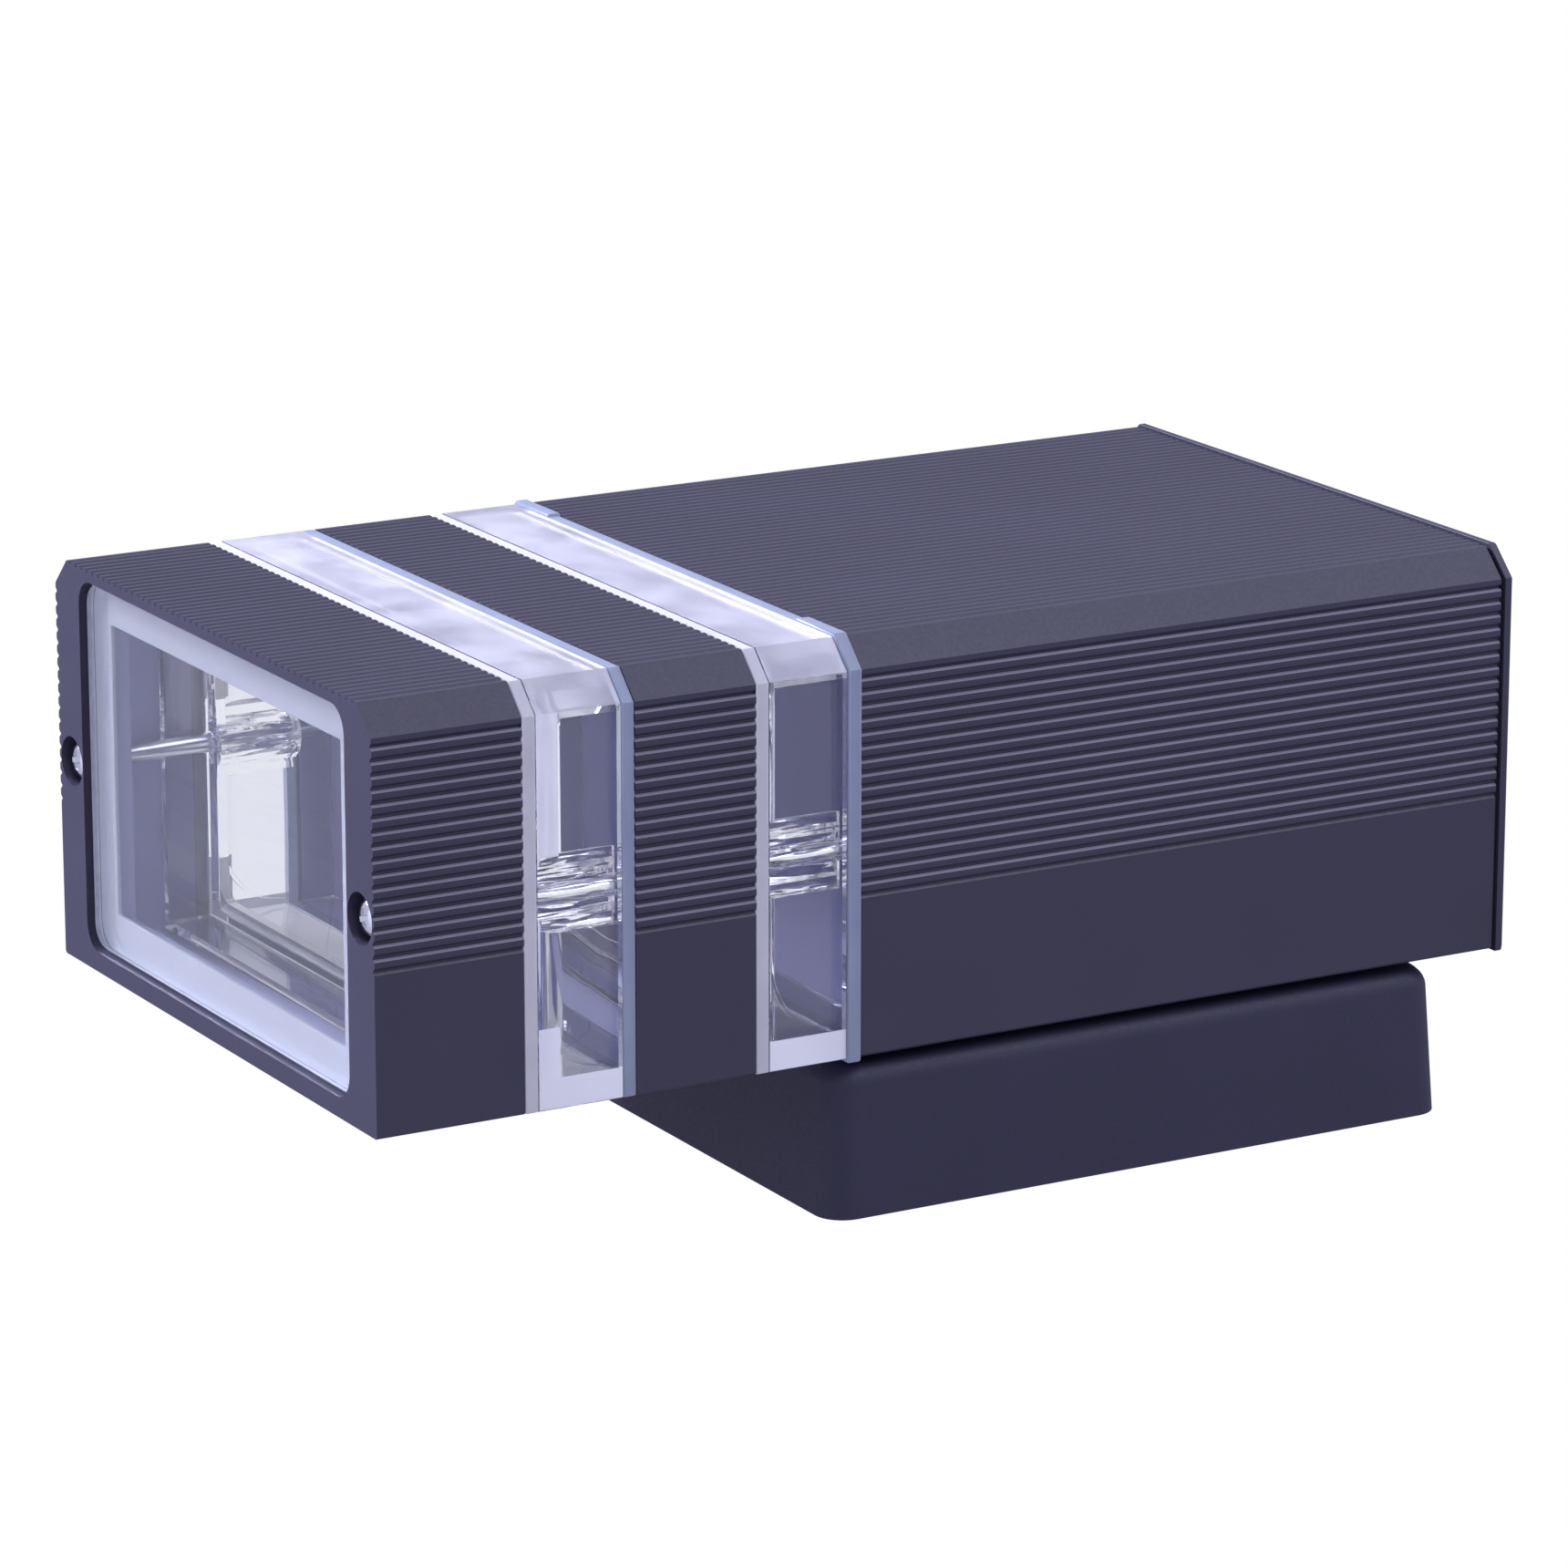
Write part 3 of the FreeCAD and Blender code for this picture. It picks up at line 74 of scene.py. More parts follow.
Outline = list[tuple[float, float]]
Ring = tuple[Outline, float]
Lift = Callable[[float, float, float], Vector]


# ---- places and small mesh helpers ----


class Cut(Enum):
    """How a tool changes the piece it meets."""

    TAKE = "DIFFERENCE"
    ADD = "UNION"


class Ends(Enum):
    """How a loft is closed."""

    JOINED = "last ring meets the first"
    CAPPED = "a face closes each end"


def span(node: str, axis: int) -> tuple[float, float]:
    """A CAD node's low and high place along an axis.

    Args:
        node: Name of the CAD node.
        axis: 0, 1 or 2 for X, Y or Z.

    Returns:
        The two places in metres.
    """
    low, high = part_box(node)
    return low[axis], high[axis]


def along_z(x: float, y: float, height: float) -> Vector:
    """Places an outline point of the head, whose length runs up Z."""
    return Vector((x, y, height))


def out_of_wall(x: float, z: float, height: float) -> Vector:
    """Places an outline point of the wall box, whose height runs out to -Y."""
    return Vector((x, -height, z))


def mesh_object(name: str, mesh: Mesh) -> Object:
    """Links a mesh to the scene as an object at the origin."""
    item = bpy.data.objects.new(name, mesh)
    bpy.context.scene.collection.objects.link(item)
    return item


def shade(mesh: Mesh, smooth_under: float = SMOOTH_ANGLE) -> None:
    """Shades a mesh smooth, but for edges sharper than this many degrees."""
    mesh.polygons.foreach_set("use_smooth", [True] * len(mesh.polygons))
    mesh.set_sharp_from_angle(angle=math.radians(smooth_under))


def link_grid(name: str, grid: bmesh.types.BMesh, smooth_under: float = SMOOTH_ANGLE) -> Object:
    """Makes an object from a working mesh.

    Args:
        name: Name of the new object.
        grid: The mesh; it is freed.
        smooth_under: Edges flatter than this many degrees are shaded smooth.

    Returns:
        The new object.
    """
    mesh = bpy.data.meshes.new(name)
    grid.to_mesh(mesh)
    grid.free()
    shade(mesh, smooth_under)
    return mesh_object(name, mesh)


def finish_mesh(name: str, grid: bmesh.types.BMesh) -> Object:
    """Turns a closed mesh's faces outwards and makes an object from it."""
    bmesh.ops.recalc_face_normals(grid, faces=grid.faces)
    return link_grid(name, grid)


def loft(name: str, rings: Sequence[Ring], lift: Lift, ends: Ends,
         inner: Sequence[int] = ()) -> Object:
    """Joins outlines of equally many points into one closed mesh.

    Args:
        name: Name of the new object.
        rings: Each outline and its height.
        lift: Places an outline point at a height.
        ends: Whether the last ring meets the first or both ends are capped.
        inner: Bands, by number, whose faces take the second material.

    Returns:
        The new object.
    """
    grid = bmesh.new()
    levels = [[grid.verts.new(lift(x, y, height)) for x, y in outline]
              for outline, height in rings]
    bands = len(levels) if ends is Ends.JOINED else len(levels) - 1
    for number in range(bands):
        low, high = levels[number], levels[(number + 1) % len(levels)]
        for i in range(len(low)):
            j = (i + 1) % len(low)
            face = grid.faces.new((low[i], low[j], high[j], high[i]))
            face.material_index = 1 if number in inner else 0
    if ends is Ends.CAPPED:
        grid.faces.new(levels[0])
        cap = grid.faces.new(levels[-1])
        cap.material_index = 1 if bands in inner else 0
    return finish_mesh(name, grid)


def circle(x: float, y: float, radius: float, steps: int = 32) -> Outline:
    """A round outline."""
    turns = [2 * math.pi * i / steps for i in range(steps)]
    return [(x + radius * math.cos(a), y + radius * math.sin(a)) for a in turns]


def turned(name: str, x: float, y: float, profile: Sequence[tuple[float, float]], lift: Lift,
           ends: Ends = Ends.CAPPED, steps: int = 32) -> Object:
    """A round piece from radii and heights.

    Args:
        name: Name of the new object.
        x: Centre across.
        y: Centre along the outline's second axis.
        profile: Radius and height of each ring.
        lift: Places an outline point at a height.
        ends: How the piece is closed.
        steps: Points round each ring.

    Returns:
        The new object.
    """
    rings = [(circle(x, y, radius, steps), height) for radius, height in profile]
    return loft(name, rings, lift, ends)


def prism(name: str, outline: Outline, low: float, high: float) -> Object:
    """A closed piece of one outline, from low to high along the head."""
    return loft(name, [(outline, low), (outline, high)], along_z, Ends.CAPPED)


def sleeve(name: str, outer: Outline, inner: Outline, low: float, high: float) -> Object:
    """A ring between two outlines, from low to high along the head."""
    rings = [(outer, low), (outer, high), (inner, high), (inner, low)]
    return loft(name, rings, along_z, Ends.JOINED)


def rod(name: str, x: float, y: float, radius: float, reach: tuple[float, float],
        lift: Lift = along_z, steps: int = 32) -> Object:
    """A round bar of one radius.

    Args:
        name: Name of the new object.
        x: Centre across.
        y: Centre along the outline's second axis.
        radius: Its radius.
        reach: Where it starts and ends.
        lift: Places an outline point at a height.
        steps: Points round it.

    Returns:
        The new object.
    """
    return turned(name, x, y, [(radius, end) for end in reach], lift, steps=steps)


def baked(item: Object) -> Object:
    """Makes an object's evaluated shape its own mesh and drops its modifiers."""
    bpy.context.view_layer.update()
    graph = bpy.context.evaluated_depsgraph_get()
    mesh = bpy.data.meshes.new_from_object(item.evaluated_get(graph))
    item.modifiers.clear()
    item.data = mesh
    return item


def open_slots(item: Object, count: int = 3) -> None:
    """Gives a piece its empty material slots, so that carving keeps its face numbers."""
    while len(item.data.materials) < count:
        item.data.materials.append(None)


def all_inner(item: Object) -> Object:
    """Gives every face of a tool the second material, and returns the tool."""
    item.data.polygons.foreach_set("material_index", [1] * len(item.data.polygons))
    return item


def carve(item: Object, tools: Sequence[Object], cut: Cut = Cut.TAKE) -> Object:
    """Takes tools from a piece, or adds them to it, and removes the tools.

    Args:
        item: The piece.
        tools: Closed meshes.
        cut: Whether they are taken away or added.

    Returns:
        The piece, with its new mesh.
    """
    open_slots(item)
    for tool in tools:
        open_slots(tool)
        change = item.modifiers.new("carve", "BOOLEAN")
        change.operation = cut.value
        change.solver = "EXACT"
        change.object = tool
    baked(item)
    for tool in tools:
        bpy.data.objects.remove(tool)
    shade(item.data)
    return item


def soften(item: Object, width: float, steps: int = 2, angle: float = 30) -> None:
    """Rounds a piece's sharp edges with a live bevel.

    Args:
        item: The piece.
        width: Width of the bevel in metres.
        steps: Faces across the bevel.
        angle: Edges sharper than this many degrees are rounded.
    """
    bevel = item.modifiers.new("soft_edges", "BEVEL")
    bevel.width = width
    bevel.segments = steps
    bevel.limit_method = "ANGLE"
    bevel.angle_limit = math.radians(angle)
    bevel.harden_normals = True


def place_piece(item: Object, body: str, slot: str, node: str, *finishes: Material) -> None:
    """Dresses a finished piece and hands it to the frame.

    Args:
        item: The piece.
        body: CAD body it rides on.
        slot: Material slot of the record; not used.
        node: CAD node that it stands for, alone or with other pieces.
        *finishes: Its materials, in slot order.
    """
    open_slots(item, len(finishes))
    for number in range(len(item.data.materials)):
        item.data.materials[number] = finishes[min(number, len(finishes) - 1)]
    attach(item, body)
    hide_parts(node)
    LOG.info("%s stands for %s", item.name, node)


# ---- node trees ----


class TreeMaker:
    """Adds nodes to a node tree."""

    def __init__(self, tree: NodeTree) -> None:
        """Keeps the tree that the nodes go in."""
        self.tree = tree

    def add(self, kind: str, values: Optional[dict] = None, links: Optional[dict] = None,
            **settings: Any) -> Node:
        """Adds a node with its settings, input values and links.

        Args:
            kind: The node's type name.
            values: Input name or number to its value.
            links: Input name or number to the output that feeds it.
            **settings: Properties of the node itself.

        Returns:
            The new node.
        """
        node = self.tree.nodes.new(kind)
        for key, setting in settings.items():
            setattr(node, key, setting)
        for key, value in (values or {}).items():
            node.inputs[key].default_value = value
        for key, output in (links or {}).items():
            self.tree.links.new(output, node.inputs[key])
        return node


def linear(colour: str) -> tuple[float, float, float, float]:
    """An sRGB hex colour as linear red, green and blue, with an alpha of one."""
    parts = [int(colour[i:i + 2], 16) / 255 for i in (1, 3, 5)]
    red, green, blue = (p / 12.92 if p <= 0.04045 else ((p + 0.055) / 1.055) ** 2.4
                        for p in parts)
    return red, green, blue, 1.0


class Surface(TreeMaker):
    """A material while it is being made: its tree, its shader and what feeds them."""

    def __init__(self, name: str, values: Optional[dict] = None) -> None:
        """Starts a material with a surface shader.

        Args:
            name: Name of the material.
            values: Shader input name to its constant value.
        """
        self.material = bpy.data.materials.new(name)
        self.material.use_nodes = True
        super().__init__(self.material.node_tree)
        self.tree.nodes.clear()
        self.shader = self.add("ShaderNodeBsdfPrincipled", values)
        self.add("ShaderNodeOutputMaterial", links={"Surface": self.shader.outputs["BSDF"]})

    def feed(self, label: str, source: NodeSocket) -> None:
        """Joins an output to one of the shader's inputs."""
        self.tree.links.new(source, self.shader.inputs[label])

    def grain(self, size: float, stretch: Sequence[float] = (1, 1, 1),
              detail: float = 2.0) -> NodeSocket:
        """Noise with features of a real size on object coordinates.

        Args:
            size: Size of a feature in metres.
            stretch: How much finer the noise runs on each axis.
            detail: Octaves of the noise.

        Returns:
            The noise's factor, near 0.5 on average.
        """
        place = self.add("ShaderNodeTexCoord")
        mapped = self.add("ShaderNodeMapping", {"Scale": tuple(stretch)},
                          {"Vector": place.outputs["Object"]})
        noise = self.add("ShaderNodeTexNoise", {"Scale": 1 / size, "Detail": detail},
                         {"Vector": mapped.outputs["Vector"]})
        return noise.outputs["Fac"]

    def between(self, factor: NodeSocket, low: float, high: float) -> NodeSocket:
        """Turns noise into a number between two values."""
        ranged = self.add("ShaderNodeMapRange", {"From Min": 0.3, "From Max": 0.7,
                                                 "To Min": low, "To Max": high},
                          {"Value": factor})
        return ranged.outputs["Result"]

    def tones(self, factor: NodeSocket, first: str, second: str) -> NodeSocket:
        """A colour that wanders between two sRGB colours."""
        mix = self.add("ShaderNodeMix", {6: linear(first), 7: linear(second)},
                       {0: self.between(factor, 0, 1)}, data_type="RGBA")
        return mix.outputs[2]

    def relief(self, factor: NodeSocket, height: float) -> None:
        """Raises the surface by a real height."""
        bump = self.add("ShaderNodeBump", {"Distance": height}, {"Height": factor})
        self.feed("Normal", bump.outputs["Normal"])


# ---- finishes ----


@dataclass(frozen=True)
class Finish:
    """What every finish starts from: its name, its colour and the tone it wanders to."""

    name: str
    colour: str
    light: str

    def mottled(self, size: float, values: dict) -> Surface:
        """A surface whose colour wanders between the two tones over a length."""
        surface = Surface(self.name, values)
        surface.feed("Base Color", surface.tones(surface.grain(size), self.colour, self.light))
        return surface


@dataclass(frozen=True)
class MetalSkin(Finish):
    """A metal's skin, coated or bare, whose gloss and relief follow one fine grain."""

    low_gloss: float
    high_gloss: float
    mark: float
    height: float
    drift: float
    metal: float
    stretch: tuple[float, float, float] = (1, 1, 1)
    detail: float = 2.0

    def make(self) -> Material:
        """Returns the material."""
        surface = self.mottled(self.drift, {"Metallic": self.metal})
        marks = surface.grain(self.mark, self.stretch, self.detail)
        surface.feed("Roughness", surface.between(marks, self.low_gloss, self.high_gloss))
        surface.relief(marks, self.height)
        return surface.material


@dataclass(frozen=True)
class PowderCoat(MetalSkin):
    """Polyester powder coat baked on aluminium: satin, with a fine orange peel."""

    low_gloss: float = 0.42
    high_gloss: float = 0.5
    mark: float = 0.5 * MM
    height: float = 0.006 * MM
    drift: float = 25 * MM
    metal: float = 0.0
    detail: float = 3.0


@dataclass(frozen=True)
class MillAluminium(MetalSkin):
    """Extruded aluminium inside the head, pre-treated and unpainted: dull, with die lines."""

    low_gloss: float = 0.45
    high_gloss: float = 0.6
    mark: float = 0.6 * MM
    height: float = 0.01 * MM
    drift: float = 30 * MM
    metal: float = 0.1
    stretch: tuple[float, float, float] = (1, 1, 0.02)


@dataclass(frozen=True)
class PlatedMetal(MetalSkin):
    """Plated or turned metal: bright, with fine drawing marks."""

    mark: float = 0.4 * MM
    height: float = 0.004 * MM
    drift: float = 4 * MM
    metal: float = 1.0


@dataclass(frozen=True)
class MattPaint(Finish):
    """Matt pale paint on a floor: flat, with a faint cloudiness."""

    gloss: float = 0.9
    drift: float = 0.4

    def make(self) -> Material:
        """Returns the material."""
        return self.mottled(self.drift, {"Roughness": self.gloss}).material


@dataclass(frozen=True)
class ClearMoulding:
    """Clear polycarbonate or glass: bright edges, faint flow waves in the surface."""

    name: str
    colour: str
    index: float
    gloss: float
    wave: float
    wave_height: float
    stretch: tuple[float, float, float] = (1, 1, 1)

    def make(self) -> Material:
        """Returns the material."""
        surface = Surface(self.name, {
            "Base Color": linear(self.colour), "Transmission Weight": 1.0,
            "IOR": self.index, "Roughness": self.gloss})
        surface.relief(surface.grain(self.wave, self.stretch), self.wave_height)
        return surface.material


@dataclass(frozen=True)
class EtchedMoulding:
    """Milky moulding with clearer patches that glow, in the look of an etched tool: the pane's
    ground edge, and on the clear rings painted reflection and painted edge light.
    """

    name: str
    colour: str
    low_through: float
    high_through: float
    patch: float
    gloss: float = 0.3
    index: float = 1.585
    relief_height: float = 0.02 * MM

    def make(self) -> Material:
        """Returns the material."""
        surface = Surface(self.name, {"Base Color": linear(self.colour), "IOR": self.index,
                                      "Roughness": self.gloss})
        patches = surface.grain(self.patch)
        surface.feed("Transmission Weight",
                     surface.between(patches, self.low_through, self.high_through))
        surface.relief(patches, self.relief_height)
        return surface.material


@dataclass(frozen=True)
class Rubbery(Finish):
    """Silicone, foam or rubber: soft sheen, light that goes a little way in."""

    depth: float
    gloss: float = 0.45
    through: float = 0.0
    milkiness: float = 0.35
    spread: tuple[float, float, float] = (0.8, 0.9, 1.0)
    index: float = 1.42
    drift: float = 6 * MM
    skin: float = 0.5 * MM
    skin_height: float = 0.015 * MM

    def make(self) -> Material:
        """Returns the material."""
        surface = self.mottled(self.drift, {
            "Subsurface Weight": self.milkiness if self.depth else 0.0,
            "Subsurface Scale": self.depth, "Subsurface Radius": self.spread,
            "Transmission Weight": self.through, "IOR": self.index, "Roughness": self.gloss})
        surface.relief(surface.grain(self.skin), self.skin_height)
        return surface.material


@dataclass(frozen=True)
class DullSolid(Finish):
    """Fired ceramic, moulded polyamide or wire insulation: matt to satin, faintly mottled."""

    gloss: float
    pore: float
    pore_height: float
    stripe: Optional[str] = None
    stripe_scale: float = 0.22 / MM
    stripe_edge: float = 0.62

    def make(self) -> Material:
        """Returns the material."""
        surface = Surface(self.name, {"Roughness": self.gloss})
        pores = surface.grain(self.pore)
        colour = surface.tones(pores, self.colour, self.light)
        if self.stripe:
            place = surface.add("ShaderNodeTexCoord")
            band = surface.add("ShaderNodeTexWave", {"Scale": self.stripe_scale},
                               {"Vector": place.outputs["Object"]}, bands_direction="DIAGONAL")
            split = surface.add("ShaderNodeMath", {1: self.stripe_edge},
                                {0: band.outputs["Fac"]}, operation="GREATER_THAN")
            mix = surface.add("ShaderNodeMix", {7: linear(self.stripe)},
                              {0: split.outputs[0], 6: colour}, data_type="RGBA")
            colour = mix.outputs[2]
        surface.feed("Base Color", colour)
        surface.relief(pores, self.pore_height)
        return surface.material


@dataclass(frozen=True)
class WovenSleeve(Finish):
    """Woven glass-fibre sleeve: crossing yarns about half a millimetre apart."""

    gloss: float = 0.8
    wave_scale: float = 0.628 / MM
    yarn_height: float = 0.1 * MM

    def make(self) -> Material:
        """Returns the material."""
        surface = Surface(self.name, {"Roughness": self.gloss})
        place = surface.add("ShaderNodeTexCoord")
        heights = []
        for turn in (math.radians(45), math.radians(-45)):
            mapped = surface.add("ShaderNodeMapping", {"Rotation": (turn, 0, turn)},
                                 {"Vector": place.outputs["Object"]})
            wave = surface.add("ShaderNodeTexWave", {"Scale": self.wave_scale},
                               {"Vector": mapped.outputs["Vector"]})
            heights.append(wave.outputs["Fac"])
        over = surface.add("ShaderNodeMath", links={0: heights[0], 1: heights[1]},
                           operation="MAXIMUM")
        surface.feed("Base Color", surface.tones(over.outputs[0], self.colour, self.light))
        surface.relief(over.outputs[0], self.yarn_height)
        return surface.material


COAT = PowderCoat("anthracite_powder_coat", "#2E2C40", "#323045")
# Lighter copy of the coat for the side grooves' walls that face away from the wall box: a painted
# highlight.
GROOVE_HIGHLIGHT_COAT = PowderCoat("thin_powder_coat_in_grooves", "#6A6777", "#73707F")
# A darker copy of the head's powder coat: painted shade where the head shades the box.
SHADED_BOX_COAT = PowderCoat("box_powder_coat", "#23213A", "#27253E", 0.55, 0.66)
INSIDE = MillAluminium("pretreated_aluminium", "#D6D7F6", "#DEDFFA")
CLEAR = ClearMoulding("clear_polycarbonate", "#F8F9FF", 1.585, 0.0, 12 * MM, 0.03 * MM)
CLEAR_BOSS = ClearMoulding("rippled_polycarbonate", "#FFFFFF", 1.585, 0.06, 3.0 * MM,
                           3.5 * MM, (1, 1, 0.17))
# Milky finish on the rings' outer, bevelled and wall-side faces and on the webs' edges: painted
# reflection of the white surround seen at a grazing angle.
MILKY_PAINTED_REFLECTION = EtchedMoulding("etched_polycarbonate", "#E4E4EE", 0.4, 0.8, 14 * MM)
# White finish on the foot of each ring side and down the lower ring's front edge: painted edge
# light, for light caught inside the clear wall.
WHITE_PAINTED_EDGE_LIGHT = EtchedMoulding("frosted_polycarbonate", "#F8F8FE", 0.08, 0.3, 14 * MM)
PANE = ClearMoulding("clear_glass", "#FCFDFF", 1.5, 0.0, 40 * MM, 0.01 * MM)
GROUND = EtchedMoulding("ground_glass_edge", "#F0F5FF", 0.1, 0.3, 2 * MM, gloss=0.5)
SILICONE = Rubbery("translucent_silicone", "#C0C0C6", "#C8C8CE", 1.5 * MM)
BORDER = Rubbery("pale_silicone", "#EEF4FC", "#F3F8FE", 1.0 * MM)
CLEARER = Rubbery("clear_silicone", "#ACB8D2", "#B6C1D8", 1.5 * MM, 0.3, 0.45)
BLACK_RUBBER = Rubbery("black_rubber", "#17171A", "#1D1D21", 0.0, 0.6)
BRIGHT_ZINC = PlatedMetal("bright_zinc_plate", "#E6E8EE", "#F4F5F8", 0.1, 0.2)
ZINC_STEEL = PlatedMetal("zinc_plated_steel", "#B4B8BE", "#C6C9CE", 0.28, 0.42, 0.7 * MM)
BRASS = PlatedMetal("turned_brass", "#C9A45C", "#D6B36C", 0.2, 0.34)
STEATITE = DullSolid("unglazed_steatite", "#E2DFD4", "#EBE8DE", 0.7, 0.8 * MM, 0.03 * MM)
POLYAMIDE = DullSolid("moulded_polyamide", "#DDDDD6", "#E6E6E0", 0.45, 1.5 * MM, 0.01 * MM)
NYLON = DullSolid("black_nylon", "#1C1C1F", "#232327", 0.5, 1.2 * MM, 0.01 * MM)
BROWN = DullSolid("brown_insulation", "#5A3420", "#653C26", 0.5, 2 * MM, 0.01 * MM)
BLUE = DullSolid("blue_insulation", "#2B5FB0", "#3169BC", 0.5, 2 * MM, 0.01 * MM)
EARTH = DullSolid("earth_insulation", "#2F8F3A", "#36993F", 0.5, 2 * MM, 0.01 * MM, "#E3CF2E")
SLEEVE = WovenSleeve("woven_glass_fibre", "#C9C4B2", "#EDEADF")
FLOOR = MattPaint("pale_floor", "#E9E9EC", "#EDEDF0")


# ---- the head's section ----


@dataclass(frozen=True)
class Section:
    """The head's cross-section: square at the wall side, bevelled at the outer side."""

    half_width: float
    back: float
    front: float
    bevel: float = 4.2 * MM
    corner: float = 0.35 * MM
    steps: int = 7

    @classmethod
    def of_housing(cls) -> "Section":
        """The section as the CAD housing has it."""
        back = span("main_housing", 1)
        return cls(span("main_housing", 0)[1], back[1], back[0])

    def corner_points(self, across: float, low: float, high: float, low_radius: float,
                      high_radius: float, straight: bool) -> Outline:
        """Four corners with equally many points each, counter-clockwise from +X, -Y.

        Args:
            across: Half the width.
            low: Outer side's Y.
            high: Wall side's Y.
            low_radius: Size of the two outer corners.
            high_radius: Radius of the two wall-side corners.
            straight: Whether the outer corners are straight bevels.

        Returns:
            The outline.
        """
        corners = (
            (across - low_radius, low + low_radius, low_radius, -90, straight),
            (across - high_radius, high - high_radius, high_radius, 0, False),
            (-(across - high_radius), high - high_radius, high_radius, 90, False),
            (-(across - low_radius), low + low_radius, low_radius, 180, straight),
        )
        points: Outline = []
        for x, y, radius, start, flat in corners:
            for i in range(self.steps):
                share = i / (self.steps - 1)
                angle = math.radians(start + 90 * share)
                if flat:
                    first, last = math.radians(start), math.radians(start + 90)
                    dx = math.cos(first) * (1 - share) + math.cos(last) * share
                    dy = math.sin(first) * (1 - share) + math.sin(last) * share
                else:
                    dx, dy = math.cos(angle), math.sin(angle)
                points.append((x + radius * dx, y + radius * dy))
        return points

    def outline(self, inset: float) -> Outline:
        """The section drawn in by inset, or out where inset is negative."""
        bevel = self.bevel - inset * (2 - math.sqrt(2))
        return self.corner_points(self.half_width - inset, self.front + inset,
                                  self.back - inset, bevel, self.corner, True)

    def rounded(self, left_right: float, outer: float, inner: float, radius: float,
                wall_radius: Optional[float] = None) -> Outline:
        """A rounded rectangle inside the section.

        Args:
            left_right: Distance in from each side face.
            outer: Distance in from the outer face.
            inner: Distance in from the wall-side face.
            radius: Its outer corners.
            wall_radius: Its wall-side corners, where they differ.

        Returns:
            The outline.
        """
        return self.corner_points(self.half_width - left_right, self.front + outer,
                                  self.back - inner, radius, wall_radius or radius, False)


# ---- rows by geometry nodes ----


class RowTree(TreeMaker):
    """A geometry-nodes tree that sets out copies of a solid in a row and paints them."""

    common = {"Start": "Vector", "Step": "Vector", "Count": "Int", "Turn": "Vector",
              "Finish": "Material"}

    def __init__(self, name: str, inputs: dict[str, str]) -> None:
        """Starts the tree.

        Args:
            name: Name of the tree.
            inputs: Name to kind of socket, for its inputs beside the common ones.
        """
        super().__init__(bpy.data.node_groups.new(name, "GeometryNodeTree"))
        self.sockets = {}
        for label, kind in {**self.common, **inputs}.items():
            item = self.tree.interface.new_socket(label, in_out="INPUT",
                                                  socket_type=f"NodeSocket{kind}")
            self.sockets[label] = item.identifier
        self.tree.interface.new_socket("Geometry", in_out="OUTPUT",
                                       socket_type="NodeSocketGeometry")
        self.given = self.add("NodeGroupInput").outputs

    def set_out(self, pattern: NodeSocket, spin: Optional[NodeSocket] = None) -> None:
        """Sets out the copies, realizes them, paints them and ends the tree.

        Args:
            pattern: The solid.
            spin: An extra turn of each copy about its own axes.
        """
        given = self.given
        line = self.add("GeometryNodeMeshLine",
                        links={"Count": given["Count"], "Start Location": given["Start"],
                               "Offset": given["Step"]})
        placed = self.add("GeometryNodeInstanceOnPoints",
                          links={"Points": line.outputs[0], "Instance": pattern,
                                 "Rotation": given["Turn"]})
        if spin is not None:
            placed = self.add("GeometryNodeRotateInstances",
                              links={"Instances": placed.outputs[0], "Rotation": spin})
        real = self.add("GeometryNodeRealizeInstances", links={0: placed.outputs[0]})
        painted = self.add("GeometryNodeSetMaterial",
                           links={"Geometry": real.outputs[0], "Material": given["Finish"]})
        self.add("NodeGroupOutput", links={0: painted.outputs[0]})

    def bake(self, name: str, values: dict) -> Object:
        """A new object with the row as its own plain mesh.

        Args:
            name: Name of the object.
            values: Input name to its value.

        Returns:
            The object.
        """
        holder = mesh_object(name, bpy.data.meshes.new(name))
        rows = holder.modifiers.new("row", "NODES")
        rows.node_group = self.tree
        for label, value in values.items():
            rows[self.sockets[label]] = value
        return baked(holder)


